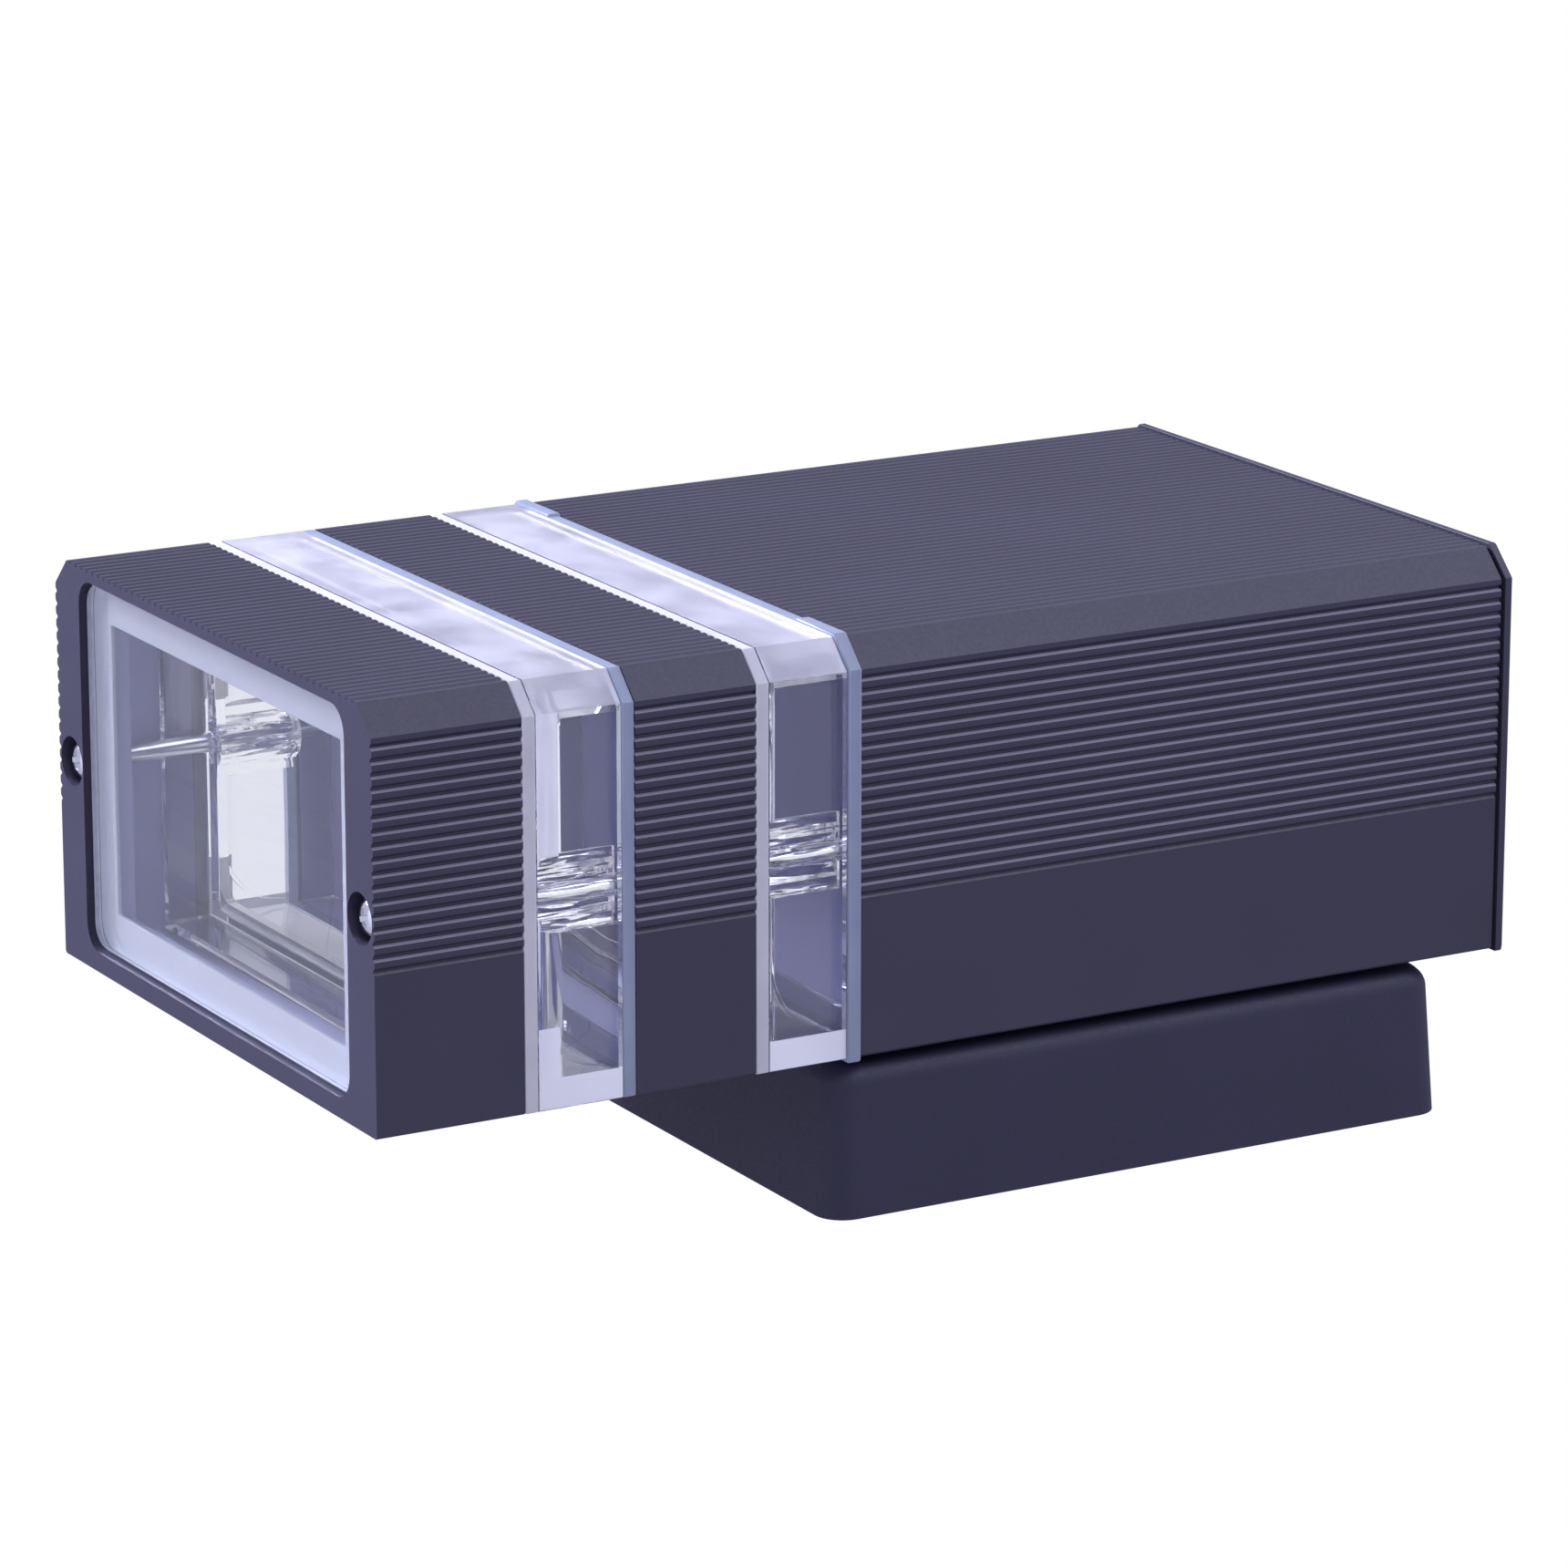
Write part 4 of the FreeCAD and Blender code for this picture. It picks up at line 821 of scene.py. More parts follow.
@dataclass
class RibRows:
    """Fine long ribs on the outer face and on both sides of a stretch of the head."""

    section: Section
    pitch: float = 2.0 * MM
    height: float = 0.4 * MM
    land: float = 0.85 * MM
    foot: float = 1.9 * MM
    round: float = 0.1 * MM
    sunk: float = 0.12 * MM
    mouth: float = 0.9 * MM
    weld: float = 0.001 * MM
    side_count: int = 17
    side_margin: float = 1.2 * MM
    highlight_under: float = -0.65

    @property
    def face_reach(self) -> float:
        """Middle of the outer face to the tip of its last groove."""
        flat = self.section.half_width - self.section.bevel
        return (math.floor(flat * 2 / self.pitch) - 1) / 2 * self.pitch

    @property
    def side_tips(self) -> tuple[float, float]:
        """Tips of the first and the last groove on a side."""
        first = self.section.front + self.section.bevel + self.side_margin
        return first, first + (self.side_count - 1) * self.pitch

    def tree(self) -> RowTree:
        """The tree that makes one row of ribs."""
        rows = RowTree("rib_row", {"Length": "Float", "Land": "Float", "Foot": "Float",
                                   "Height": "Float", "Round": "Float"})
        given = rows.given
        profile = rows.add("GeometryNodeCurvePrimitiveQuadrilateral", {"Offset": 0.0},
                           {"Height": given["Height"], "Bottom Width": given["Foot"],
                            "Top Width": given["Land"]}, mode="TRAPEZOID")
        eased = rows.add("GeometryNodeFilletCurve", {"Count": 3},
                         {"Curve": profile.outputs["Curve"], "Radius": given["Round"]},
                         mode="POLY")
        area = rows.add("GeometryNodeFillCurve", links={0: eased.outputs["Curve"]})
        reach = rows.add("ShaderNodeCombineXYZ", links={"Z": given["Length"]})
        raised = rows.add("GeometryNodeExtrudeMesh", {"Individual": False},
                          {"Mesh": area.outputs[0], "Offset": reach.outputs["Vector"]},
                          mode="FACES")
        under = rows.add("GeometryNodeFlipFaces", links={0: area.outputs[0]})
        solid = rows.add("GeometryNodeJoinGeometry")
        rows.tree.links.new(raised.outputs["Mesh"], solid.inputs[0])
        rows.tree.links.new(under.outputs[0], solid.inputs[0])
        joined = rows.add("GeometryNodeMergeByDistance", {"Distance": self.weld},
                          {"Geometry": solid.outputs[0]})
        rows.set_out(joined.outputs[0])
        return rows

    def build(self, name: str, low: float, high: float, finish: Material) -> Object:
        """All the ribs of one stretch as one piece.

        The side ribs' walls that face away from the wall box take the second finish, a lighter
        coat that is a painted highlight.

        Args:
            name: Name of the piece.
            low: Low end of the stretch.
            high: High end of the stretch.
            finish: Their material.

        Returns:
            The piece.
        """
        length = high - low
        lift = (self.height - self.sunk) / 2
        reach = self.face_reach - self.pitch / 2
        start = Vector((-reach, self.section.front + lift, low))
        rows = [(start, Vector((self.pitch, 0, 0)), round(reach * 2 / self.pitch) + 1, math.pi)]
        first = self.side_tips[0] + self.pitch / 2
        for side, turn in ((-1, math.pi / 2), (1, -math.pi / 2)):
            start = Vector(((self.section.half_width - lift) * side, first, low))
            rows.append((start, Vector((0, self.pitch, 0)), self.side_count - 1, turn))
        sizes = {"Length": length, "Land": self.land, "Foot": self.foot, "Round": self.round,
                 "Height": self.height + self.sunk, "Finish": finish}
        tree = self.tree()
        grid = bmesh.new()
        for start, step, count, turn in rows:
            row = tree.bake("rib_row", {**sizes, "Start": start, "Step": step, "Count": count,
                                        "Turn": (0, 0, turn)})
            grid.from_mesh(row.data)
            bpy.data.objects.remove(row)
        # Side walls facing away from the wall box get the lighter coat, a painted highlight.
        side_start = self.section.half_width - self.height * 2
        for face in grid.faces:
            face.normal_update()
            at_side = abs(face.calc_center_median().x) > side_start
            face.material_index = int(at_side and face.normal.y < self.highlight_under)
        return finish_mesh(name, grid)


# ---- the head ----


@dataclass
class Shells:
    """The three ribbed metal segments and the end cap."""

    section: Section
    ribs: RibRows
    coat: Material
    groove_highlight: Material
    inside: Material
    wall: float = 2.0 * MM
    edge: float = 0.18 * MM
    plate: float = 8.5 * MM
    seat: float = 5.6 * MM
    lip: float = 4.6 * MM
    window_side: float = 8.3 * MM
    window_outer: float = 1.8 * MM
    window_inner: float = 3.0 * MM
    window_round: float = 4.0 * MM
    screw_inset: float = 4.3 * MM
    counterbore: float = 3.8 * MM
    counterbore_depth: float = 3.2 * MM
    screw_hole: float = 1.7 * MM
    port: float = 3.4 * MM
    port_start: float = 5.3 * MM
    port_edge: float = 0.15 * MM
    stem_hole: float = 5.1 * MM
    opening_round: float = 0.5 * MM
    cap_edge: float = 0.45 * MM
    cap_sink: float = 2.75 * MM
    cap_soften: float = 0.12 * MM
    rubber_inset: float = 0.3 * MM

    def grooved(self) -> Outline:
        """The outside with its outer face and upper sides at the groove floors.

        The two faces step in by the rib height over their ribbed stretch, so each corner
        keeps the same number of points as the plain section's outline.
        """
        shape, ribs = self.section, self.ribs
        half_mouth, across = ribs.mouth / 2, shape.half_width
        reach = ribs.face_reach
        low, high = ribs.side_tips
        right = [
            (reach, shape.front + ribs.height), (reach + half_mouth, shape.front),
            (across - shape.bevel, shape.front), (across, shape.front + shape.bevel),
            (across, low - half_mouth), (across - ribs.height, low),
            (across - ribs.height, high), (across, high + half_mouth),
            (across, shape.back - shape.corner), (across - shape.corner, shape.back),
        ]
        left = [(-x, y) for x, y in reversed(right)]
        return right + left

    def plain(self, inset: float) -> Outline:
        """The section drawn in, with as many points as the grooved outline."""
        shape = self.section
        across = shape.half_width - inset
        bevel = shape.bevel - inset * (2 - math.sqrt(2))
        low, high = shape.front + inset, shape.back - inset
        flat = across - bevel
        marks = (0.2, 0.4, 0.6, 0.8)
        right = [(flat * 0.9, low), (flat * 0.95, low), (flat, low), (across, low + bevel)]
        right += [(across, low + bevel + (high - low - bevel) * share) for share in marks]
        right += [(across, high - 0.2 * MM), (across - 0.2 * MM, high)]
        left = [(-x, y) for x, y in reversed(right)]
        return right + left

    def tube(self, node: str) -> Object:
        """A node's stretch of grooved tube, open at both ends."""
        low, high = span(node, 2)
        rings = [(self.grooved(), low), (self.grooved(), high),
                 (self.plain(self.wall), high), (self.plain(self.wall), low)]
        return loft(f"{node}_shell", rings, along_z, Ends.JOINED, inner=(2,))

    def window(self, inset: float, radius: float) -> Outline:
        """The window recess drawn in by inset."""
        return self.section.rounded(self.window_side + inset, self.window_outer + inset,
                                    self.window_inner + inset, radius)

    def screw_places(self) -> list[tuple[float, float]]:
        """Where the two tie screws run."""
        across = self.section.half_width - self.screw_inset
        middle = (self.section.back + self.section.front) / 2
        return [(-across, middle), (across, middle)]

    def dress_segment(self, item: Object, node: str) -> None:
        """Softens a segment's shell, lays its ribs on it and hands both to the frame."""
        soften(item, self.edge)
        place_piece(item, HEAD, "powder_coat", node, self.coat, self.inside)
        ribs = self.ribs.build(f"{node}_ribs", *span(node, 2), self.coat)
        # The ribs' second finish is the lighter coat, a painted highlight on the groove walls.
        place_piece(ribs, HEAD, "powder_coat", node, self.coat, self.groove_highlight)

    def build_front(self) -> None:
        """The front segment with its thick face, window recess and screw seats."""
        low, high = span("front_frame", 2)
        item = loft("front_frame_shell",
                    [(self.grooved(), low), (self.grooved(), high),
                     (self.plain(self.wall), high), (self.plain(self.wall), low + self.plate)],
                    along_z, Ends.CAPPED, inner=(2, 3))
        seat = self.window(0, self.window_round)
        recess = prism("recess", seat, low - MM, low + self.seat)
        mouth = self.window(self.lip, self.opening_round)
        opening = prism("opening", mouth, low - MM, low + self.plate + MM)
        tools = [recess, all_inner(opening)]
        for x, y in self.screw_places():
            tools.append(rod("seat", x, y, self.counterbore,
                             (low - MM, low + self.counterbore_depth)))
            tools.append(rod("hole", x, y, self.screw_hole, (low, low + self.plate + MM),
                             steps=20))
        self.dress_segment(carve(item, tools), "front_frame")

    def build_middle(self) -> None:
        """The short segment between the clear bands."""
        self.dress_segment(self.tube("middle_segment"), "middle_segment")

    def build_housing(self) -> None:
        """The main housing with its screw ports and the stem hole."""
        low, high = span("main_housing", 2)
        item = self.tube("main_housing")
        back = self.section.back
        hole = rod("stem_hole", 0, 0, self.stem_hole,
                   (-back - 2 * MM, -back + self.wall + 2 * MM), out_of_wall)
        self.dress_segment(carve(item, [hole]), "main_housing")
        for word, (x, y) in zip(("far", "near"), self.screw_places()):
            port = turned(f"screw_port_{word}", x, y,
                          [(self.port, low + self.port_start), (self.port, high),
                           (self.screw_hole, high), (self.screw_hole, low + self.port_start)],
                          along_z, Ends.JOINED)
            soften(port, self.port_edge)
            place_piece(port, HEAD, "powder_coat", "main_housing", self.inside)

    def build_cap(self, rubber: Material) -> None:
        """The end cap and the rubber sheet under it."""
        low, high = span("end_cap", 2)
        proud = span("end_cap", 0)[1] - self.section.half_width
        outline = self.section.outline
        edge = outline(-proud)
        item = loft("end_cap_plate", [(edge, low), (edge, high - self.cap_edge),
                                      (outline(self.cap_edge - proud), high)],
                    along_z, Ends.CAPPED)
        sink = [(self.screw_hole, low - MM), (self.screw_hole, low), (self.cap_sink, high),
                (self.cap_sink, high + MM)]
        carve(item, [turned("sink", x, y, sink, along_z) for x, y in self.screw_places()])
        soften(item, self.cap_soften)
        place_piece(item, HEAD, "powder_coat", "end_cap", self.coat)
        low, high = span("end_cap_gasket", 2)
        sheet = sleeve("end_cap_rubber", outline(self.rubber_inset), outline(self.wall), low,
                       high)
        place_piece(sheet, HEAD, "black_rubber", "end_cap_gasket", rubber)


@dataclass
class Window:
    """The pane with its ground edge, bedded on a pale silicone border."""

    shells: Shells
    gap: float = 0.1 * MM
    border: float = 6.15 * MM
    ground: float = 0.6 * MM
    sharp: float = 0.3 * MM
    border_edge: float = 0.1 * MM

    def build(self, silicone: Material, glass: Material, ground: Material) -> None:
        """Makes the border and, in front of it, the pane with its matt ground edge."""
        cut = self.shells.window
        radius = self.shells.window_round - self.gap
        edge = cut(self.gap, radius)
        face = cut(self.gap + self.ground, radius - self.ground)
        low, high = span("window_glass", 2)
        pane = loft("window_pane", [(face, low), (edge, low + self.ground), (edge, high - AIR)],
                    along_z, Ends.CAPPED, inner=(0, 1))
        place_piece(pane, HEAD, "pane", "window_glass", glass, ground)
        low, high = span("window_gasket", 2)
        mouth = cut(self.border, self.sharp)
        border = loft("window_border", [(edge, low), (mouth, low), (mouth, high), (edge, high)],
                      along_z, Ends.JOINED)
        soften(border, self.border_edge)
        place_piece(border, HEAD, "silicone", "window_gasket", silicone)


@dataclass
class ClearBand:
    """A moulded clear ring with skirts, an inner flange and two screw bosses."""

    shells: Shells
    node: str
    blend: float
    skirt_inset: float = 2.15 * MM
    inner_inset: float = 3.65 * MM
    skirt: float = 7.2 * MM
    flange: float = 1.5 * MM
    flange_height: float = 3.0 * MM
    flange_round: float = 12.0 * MM
    flange_corner: float = 3.0 * MM
    boss: float = 4.0 * MM
    pad_inset: float = 5.2 * MM
    pad: float = 6.0 * MM
    pad_sunk: float = 0.3 * MM
    pad_edge: float = 0.6 * MM
    ridge_turn: float = math.radians(80)
    bore: float = 1.7 * MM
    foot_band: float = 4.6 * MM
    flange_foot: float = 12.0 * MM
    # Whether the front edge of each side gets the painted edge light.
    glow: bool = False
    glow_width: float = 3.4 * MM
    web_rise: float = 12.2 * MM
    web_spread: float = 1.7 * MM
    web_height: float = 0.8 * MM
    edge: float = 0.25 * MM
    turns: int = 6

    def boss_outline(self, x: float, y: float) -> Outline:
        """A boss's outline: a round ridge on a pad that stands on the ring's wall."""
        side = math.copysign(1, x)
        edge = self.shells.section.half_width
        root = edge - self.skirt_inset - self.pad_sunk
        pad = edge - self.pad_inset
        arc = [(abs(x) - self.boss * math.cos(a), self.boss * math.sin(a))
               for a in (self.ridge_turn * (i / 8 - 1) for i in range(17))]
        points = [(root, -self.pad), (pad, -self.pad + self.pad_edge)] + arc
        points += [(pad, self.pad - self.pad_edge), (root, self.pad)]
        return [(px * side, y + py * side) for px, py in points]

    def webs(self, low: float, high: float) -> list[Object]:
        """A curved web inside each side, from the front edge down to the foot's back end."""
        shape = self.shells.section
        foot = shape.back - self.foot_band
        inside = shape.half_width - self.inner_inset
        turns = [math.pi / 2 * i / 20 for i in range(21)]
        wide = high - low
        upper = [(foot - self.web_rise * (1 - math.sin(a)), high - wide * math.cos(a))
                 for a in turns]
        lower = [(y + self.web_spread * math.cos(a) ** 2, z) for (y, z), a in zip(upper, turns)]
        outline = upper[:-1] + lower[:0:-1]
        webs = []
        for side in (-1, 1):
            levels = [(outline, (inside - self.web_height) * side),
                      (outline, (inside + self.edge) * side)]
            web = loft("web", levels, lambda y, z, x: Vector((x, y, z)), Ends.CAPPED)
            # The web's edge faces take the milky finish: painted pale lines along the web.
            for face in web.data.polygons:
                face.material_index = 2 if abs(face.normal.x) < 0.5 else 0
            webs.append(web)
        return webs

    def dress_faces(self, item: Object, low: float) -> None:
        """Paints the outer, bevelled and wall-side faces milky and the foot of each side white.

        The milky faces are painted reflection and the white ones are painted edge light. A ring
        that glows also gets the painted edge light down its front edge, but for a stretch at the
        boss.

        Args:
            item: The ring.
            low: Where its wall starts.
        """
        shape = self.shells.section
        foot = shape.back - self.foot_band
        strip = low + self.glow_width
        bevelled = shape.half_width - shape.front - shape.bevel - AIR
        corner_end = shape.back - self.flange_foot
        _, screw = self.shells.screw_places()[0]
        grid = bmesh.new()
        grid.from_mesh(item.data)
        for spot, way in (((0, foot, 0), (0, 1, 0)), ((0, 0, strip), (0, 0, 1)),
                          ((0, corner_end, 0), (0, 1, 0)), ((0, screw - self.pad, 0), (0, 1, 0))):
            parts = [*grid.verts, *grid.edges, *grid.faces]
            bmesh.ops.bisect_plane(grid, geom=parts, plane_co=spot, plane_no=way)
        edge = shape.half_width - AIR
        for face in grid.faces:
            place = face.calc_center_median()
            side = abs(place.x) > edge
            at_boss = screw - self.pad < place.y < corner_end
            glow = self.glow and place.z < strip and not at_boss
            bevel = abs(place.x) - place.y > bevelled and place.z > low
            # Index 3 is painted edge light, and index 2 is painted reflection.
            if side and (place.y > foot or glow):
                face.material_index = 3
            elif place.y > shape.back - AIR or place.y < shape.front + AIR or bevel:
                face.material_index = 2
        grid.to_mesh(item.data)
        grid.free()

    def build(self, *finishes: Material) -> None:
        """Makes the ring as one closed piece.

        Args:
            *finishes: Of the ring, its bosses, its outer and wall-side faces (painted
            reflection), and the strips on its sides (painted edge light).
        """
        shape = self.shells.section
        start, end = span(self.node, 2)
        low, high = start + self.skirt, end - self.skirt
        wall, skirt = shape.outline(0), shape.outline(self.skirt_inset)
        hollow = shape.outline(self.inner_inset)
        inset = self.inner_inset + self.flange_height
        opening = shape.rounded(inset, inset, inset, self.flange_round, self.flange_corner)
        blends: list[Ring] = []
        for i in range(self.turns + 1):
            angle = math.pi / 2 * i / self.turns
            share = 1 - math.sin(angle)
            outline = [(a * (1 - share) + c * share, b * (1 - share) + d * share)
                       for (a, b), (c, d) in zip(hollow, opening)]
            blends.append((outline, low + self.flange + self.blend * (1 - math.cos(angle))))
        rings = [(skirt, start), (skirt, low + AIR), (wall, low + AIR), (wall, high - AIR),
                 (skirt, high - AIR), (skirt, end), (hollow, end)]
        rings += list(reversed(blends))
        rings += [(opening, low), (hollow, low), (hollow, start)]
        item = loft(f"{self.node}_body", rings, along_z, Ends.JOINED)
        bosses, bores = [], []
        for x, y in self.shells.screw_places():
            outline = self.boss_outline(x, y)
            bosses.append(all_inner(prism("boss", outline, low + AIR, high - AIR)))
            bores.append(all_inner(rod("bore", x, y, self.bore, (start - MM, end + MM),
                                       steps=20)))
        carve(item, bosses + self.webs(low + self.flange, high - self.flange), Cut.ADD)
        carve(item, bores)
        self.dress_faces(item, low)
        soften(item, self.edge)
        place_piece(item, HEAD, "clear_ring", self.node, *finishes)


@dataclass
class Seals:
    """The four seals beside the clear rings: milky on the window side, clearer behind."""

    shells: Shells
    inner_inset: float = 2.15 * MM - AIR
    round: float = 0.35 * MM
    flush_to: float = 38.0 * MM
    rise: float = 0.4 * MM
    milky: tuple[str, ...] = ("seal_front", "seal_middle_upper")
    clearer: tuple[str, ...] = ("seal_middle_lower", "seal_housing")

    def build_one(self, node: str, finish: Material) -> None:
        """One seal with softly rounded edges.

        A seal that stands proud of the section is flush along most of the outer face, and
        is pressed out only round the corners and down the sides.
        """
        shape = self.shells.section
        low, high = span(node, 2)
        proud = max(0.0, span(node, 0)[1] - shape.half_width)
        outer = shape.outline(-proud)
        inner = shape.outline(self.inner_inset)
        if proud > 0:
            marks = ((-self.flush_to, 1), (self.rise - self.flush_to, 0),
                     (self.flush_to - self.rise, 0), (self.flush_to, 1))
            outer += [(x, shape.front - proud * up) for x, up in marks]
            inner += [(x, shape.front + self.inner_inset) for x, _ in marks]
        item = sleeve(f"{node}_ring", outer, inner, low, high)
        soften(item, self.round, 3, 50)
        place_piece(item, HEAD, "silicone", node, finish)

    def build(self, milky: Material, clearer: Material) -> None:
        """Makes all four."""
        for node in self.milky:
            self.build_one(node, milky)
        for node in self.clearer:
            self.build_one(node, clearer)


@dataclass
class Screws:
    """Screws, made once and set out in a row by geometry nodes."""

    seed: int = 7
    recess_arm: float = 0.85 * MM
    recess_depth: float = 1.1 * MM
    recess_over: float = 0.3 * MM
    recess_taper: float = 0.6
    recess_reach: tuple[float, float] = (0.62, 0.3)
    dome: float = 0.62
    rim: float = 0.1 * MM
    tip: float = 0.5 * MM

    def recess(self, top: float, radius: float) -> list[Object]:
        """Two tapered bars that cut a cross recess into a head whose top is at top."""
        tools = []
        wide = self.recess_arm / 2
        narrow = wide * self.recess_taper
        far, near = self.recess_reach
        for turn in (0, math.pi / 2):
            rings = []
            for half, reach, height in ((wide, radius * far, top - self.recess_over),
                                        (narrow, radius * near, top + self.recess_depth)):
                corners = [(-reach, -half), (reach, -half), (reach, half), (-reach, half)]
                spin = Matrix.Rotation(turn, 2)
                rings.append(([tuple(spin @ Vector(c)) for c in corners], height))
            tools.append(loft("cross", rings, along_z, Ends.CAPPED))
        return tools

    def pan(self, name: str, head: float, height: float, shank: float, length: float) -> Object:
        """A pan-head screw, head down, whose seat is at the origin.

        Args:
            name: Name of the pattern object.
            head: Radius of the head.
            height: Height of the head.
            shank: Radius of the shank.
            length: Length under the head.

        Returns:
            The screw.
        """
        crown = [(head * share, -height + height * self.dome * (1 - math.sqrt(1 - share ** 2)))
                 for share in (0.15, 0.4, 0.6, 0.75, 0.87, 0.95, 1.0)]
        profile = crown + [(head, -self.rim), (head - self.rim, 0), (shank, 0),
                           (shank, length - self.tip), (shank - self.tip, length)]
        item = turned(name, 0, 0, profile, along_z)
        return carve(item, self.recess(-height, head))

    def flat(self, name: str, head: float, depth: float, shank: float, length: float) -> Object:
        """A countersunk screw, head down, whose top is at the origin."""
        profile = [(head - self.rim, 0), (head, self.rim), (shank, depth),
                   (shank, length - self.tip), (shank - self.tip, length)]
        item = turned(name, 0, 0, profile, along_z)
        return carve(item, self.recess(0, head))

    def row(self, name: str, pattern: Object, start: Vector, step: Vector,
            turn: Vector, finish: Material) -> Object:
        """Two copies of a screw, each stopped at its own angle, as one plain mesh.

        Args:
            name: Name of the piece.
            pattern: The screw; it is removed.
            start: Seat of the first.
            step: From the first to the second.
            turn: Rotation that points the pattern the right way.
            finish: Material of the screws.

        Returns:
            The piece.
        """
        rows = RowTree("screw_row", {"Screw": "Object", "Seed": "Int"})
        source = rows.add("GeometryNodeObjectInfo", links={"Object": rows.given["Screw"]})
        stop = rows.add("FunctionNodeRandomValue", {2: 0.0, 3: math.tau},
                        {"Seed": rows.given["Seed"]}, data_type="FLOAT")
        spin = rows.add("ShaderNodeCombineXYZ", links={"Z": stop.outputs[1]})
        rows.set_out(source.outputs["Geometry"], spin.outputs[0])
        holder = rows.bake(name, {"Screw": pattern, "Start": start, "Step": step, "Count": 2,
                                  "Turn": turn, "Seed": self.seed, "Finish": finish})
        bpy.data.objects.remove(pattern)
        return holder


@dataclass
class Fasteners:
    """The tie screws and the end cap's screws."""

    shells: Shells
    screws: Screws
    head: float = 2.8 * MM
    head_height: float = 2.1 * MM
    shank: float = 1.5 * MM
    cap_head: float = 2.7 * MM
    cap_head_depth: float = 1.5 * MM

    def build(self, zinc: Material) -> None:
        """Makes both pairs."""
        (x0, y), (x1, _) = self.shells.screw_places()
        step = Vector((x1 - x0, 0, 0))
        low, high = span("tie_screws", 2)
        tie = self.screws.pan("tie", self.head, self.head_height, self.shank,
                              high - low - self.head_height)
        pair = self.screws.row("tie_screw_pair", tie, Vector((x0, y, low + self.head_height)),
                               step, Vector((0, 0, 0)), zinc)
        place_piece(pair, HEAD, "bright_screw", "tie_screws", zinc)
        low, high = span("end_cap_screws", 2)
        cap = self.screws.flat("cap", self.cap_head, self.cap_head_depth, self.shank,
                                high - low)
        pair = self.screws.row("end_cap_screw_pair", cap, Vector((x0, y, high)), step,
                               Vector((math.pi, 0, 0)), zinc)
        place_piece(pair, HEAD, "bright_screw", "end_cap_screws", zinc)


# ---- the wall box ----


@dataclass
class WallBox:
    """The drafted square box with a softly rounded face."""

    draft: float = math.radians(3.04)
    corner: float = 4.5 * MM
    round: float = 3.0 * MM
    wall: float = 2.2 * MM
    face: float = 2.5 * MM
    post: float = 4.5 * MM
    post_place: float = 40.0 * MM
    post_foot: float = 1.5 * MM
    post_bore: float = 2.15 * MM
    screw_head: float = 3.95 * MM
    screw_head_depth: float = 2.2 * MM
    stem: float = 5.05 * MM
    inner_corner: float = 0.8 * MM
    edge: float = 0.3 * MM
    steps: int = 9

    def square(self, half: float, radius: float) -> Outline:
        """A rounded square."""
        points: Outline = []
        for quarter in range(4):
            start = quarter * math.pi / 2
            cx = (half - radius) * (1 if quarter in (0, 3) else -1)
            cy = (half - radius) * (1 if quarter in (0, 1) else -1)
            for i in range(self.steps):
                angle = start + math.pi / 2 * i / (self.steps - 1)
                points.append((cx + radius * math.cos(angle), cy + radius * math.sin(angle)))
        return points

    def build(self, coat: Material) -> None:
        """Makes the box with its posts, countersinks and stem hole."""
        half = span("wall_box", 0)[1]
        height = -span("wall_box", 1)[0]
        slope = math.tan(self.draft)
        rings = [(self.square(half, self.corner), 0)]
        for i in range(self.steps):
            turn = math.pi / 2 * i / (self.steps - 1)
            level = height - self.round + self.round * math.sin(turn)
            inset = level * slope + self.round * (1 - math.cos(turn))
            rings.append((self.square(half - inset, self.corner), level))
        outer = list(reversed(rings))
        depth = height - self.face
        inner_half = half - self.wall
        outer.append((self.square(inner_half, self.inner_corner), 0))
        outer.append((self.square(inner_half - depth * slope, self.inner_corner), depth))
        item = loft("wall_box_shell", outer, out_of_wall, Ends.CAPPED)
        posts, holes = [], []
        for side in (-1, 1):
            spot = self.post_place * side
            posts.append(rod("post", spot, spot, self.post, (self.post_foot, height - MM),
                             out_of_wall))
            sink = height - self.screw_head_depth
            holes.append(turned("sink", spot, spot,
                                [(self.post_bore, -MM), (self.post_bore, sink),
                                 (self.screw_head, height), (self.screw_head, height + MM)],
                                out_of_wall))
        holes.append(rod("stem_hole", 0, 0, self.stem, (0, height + MM), out_of_wall))
        carve(item, posts, Cut.ADD)
        carve(item, holes)
        soften(item, self.edge)
        place_piece(item, WALL, "box_coat", "wall_box", coat)


# ---- pieces that keep their CAD shape ----


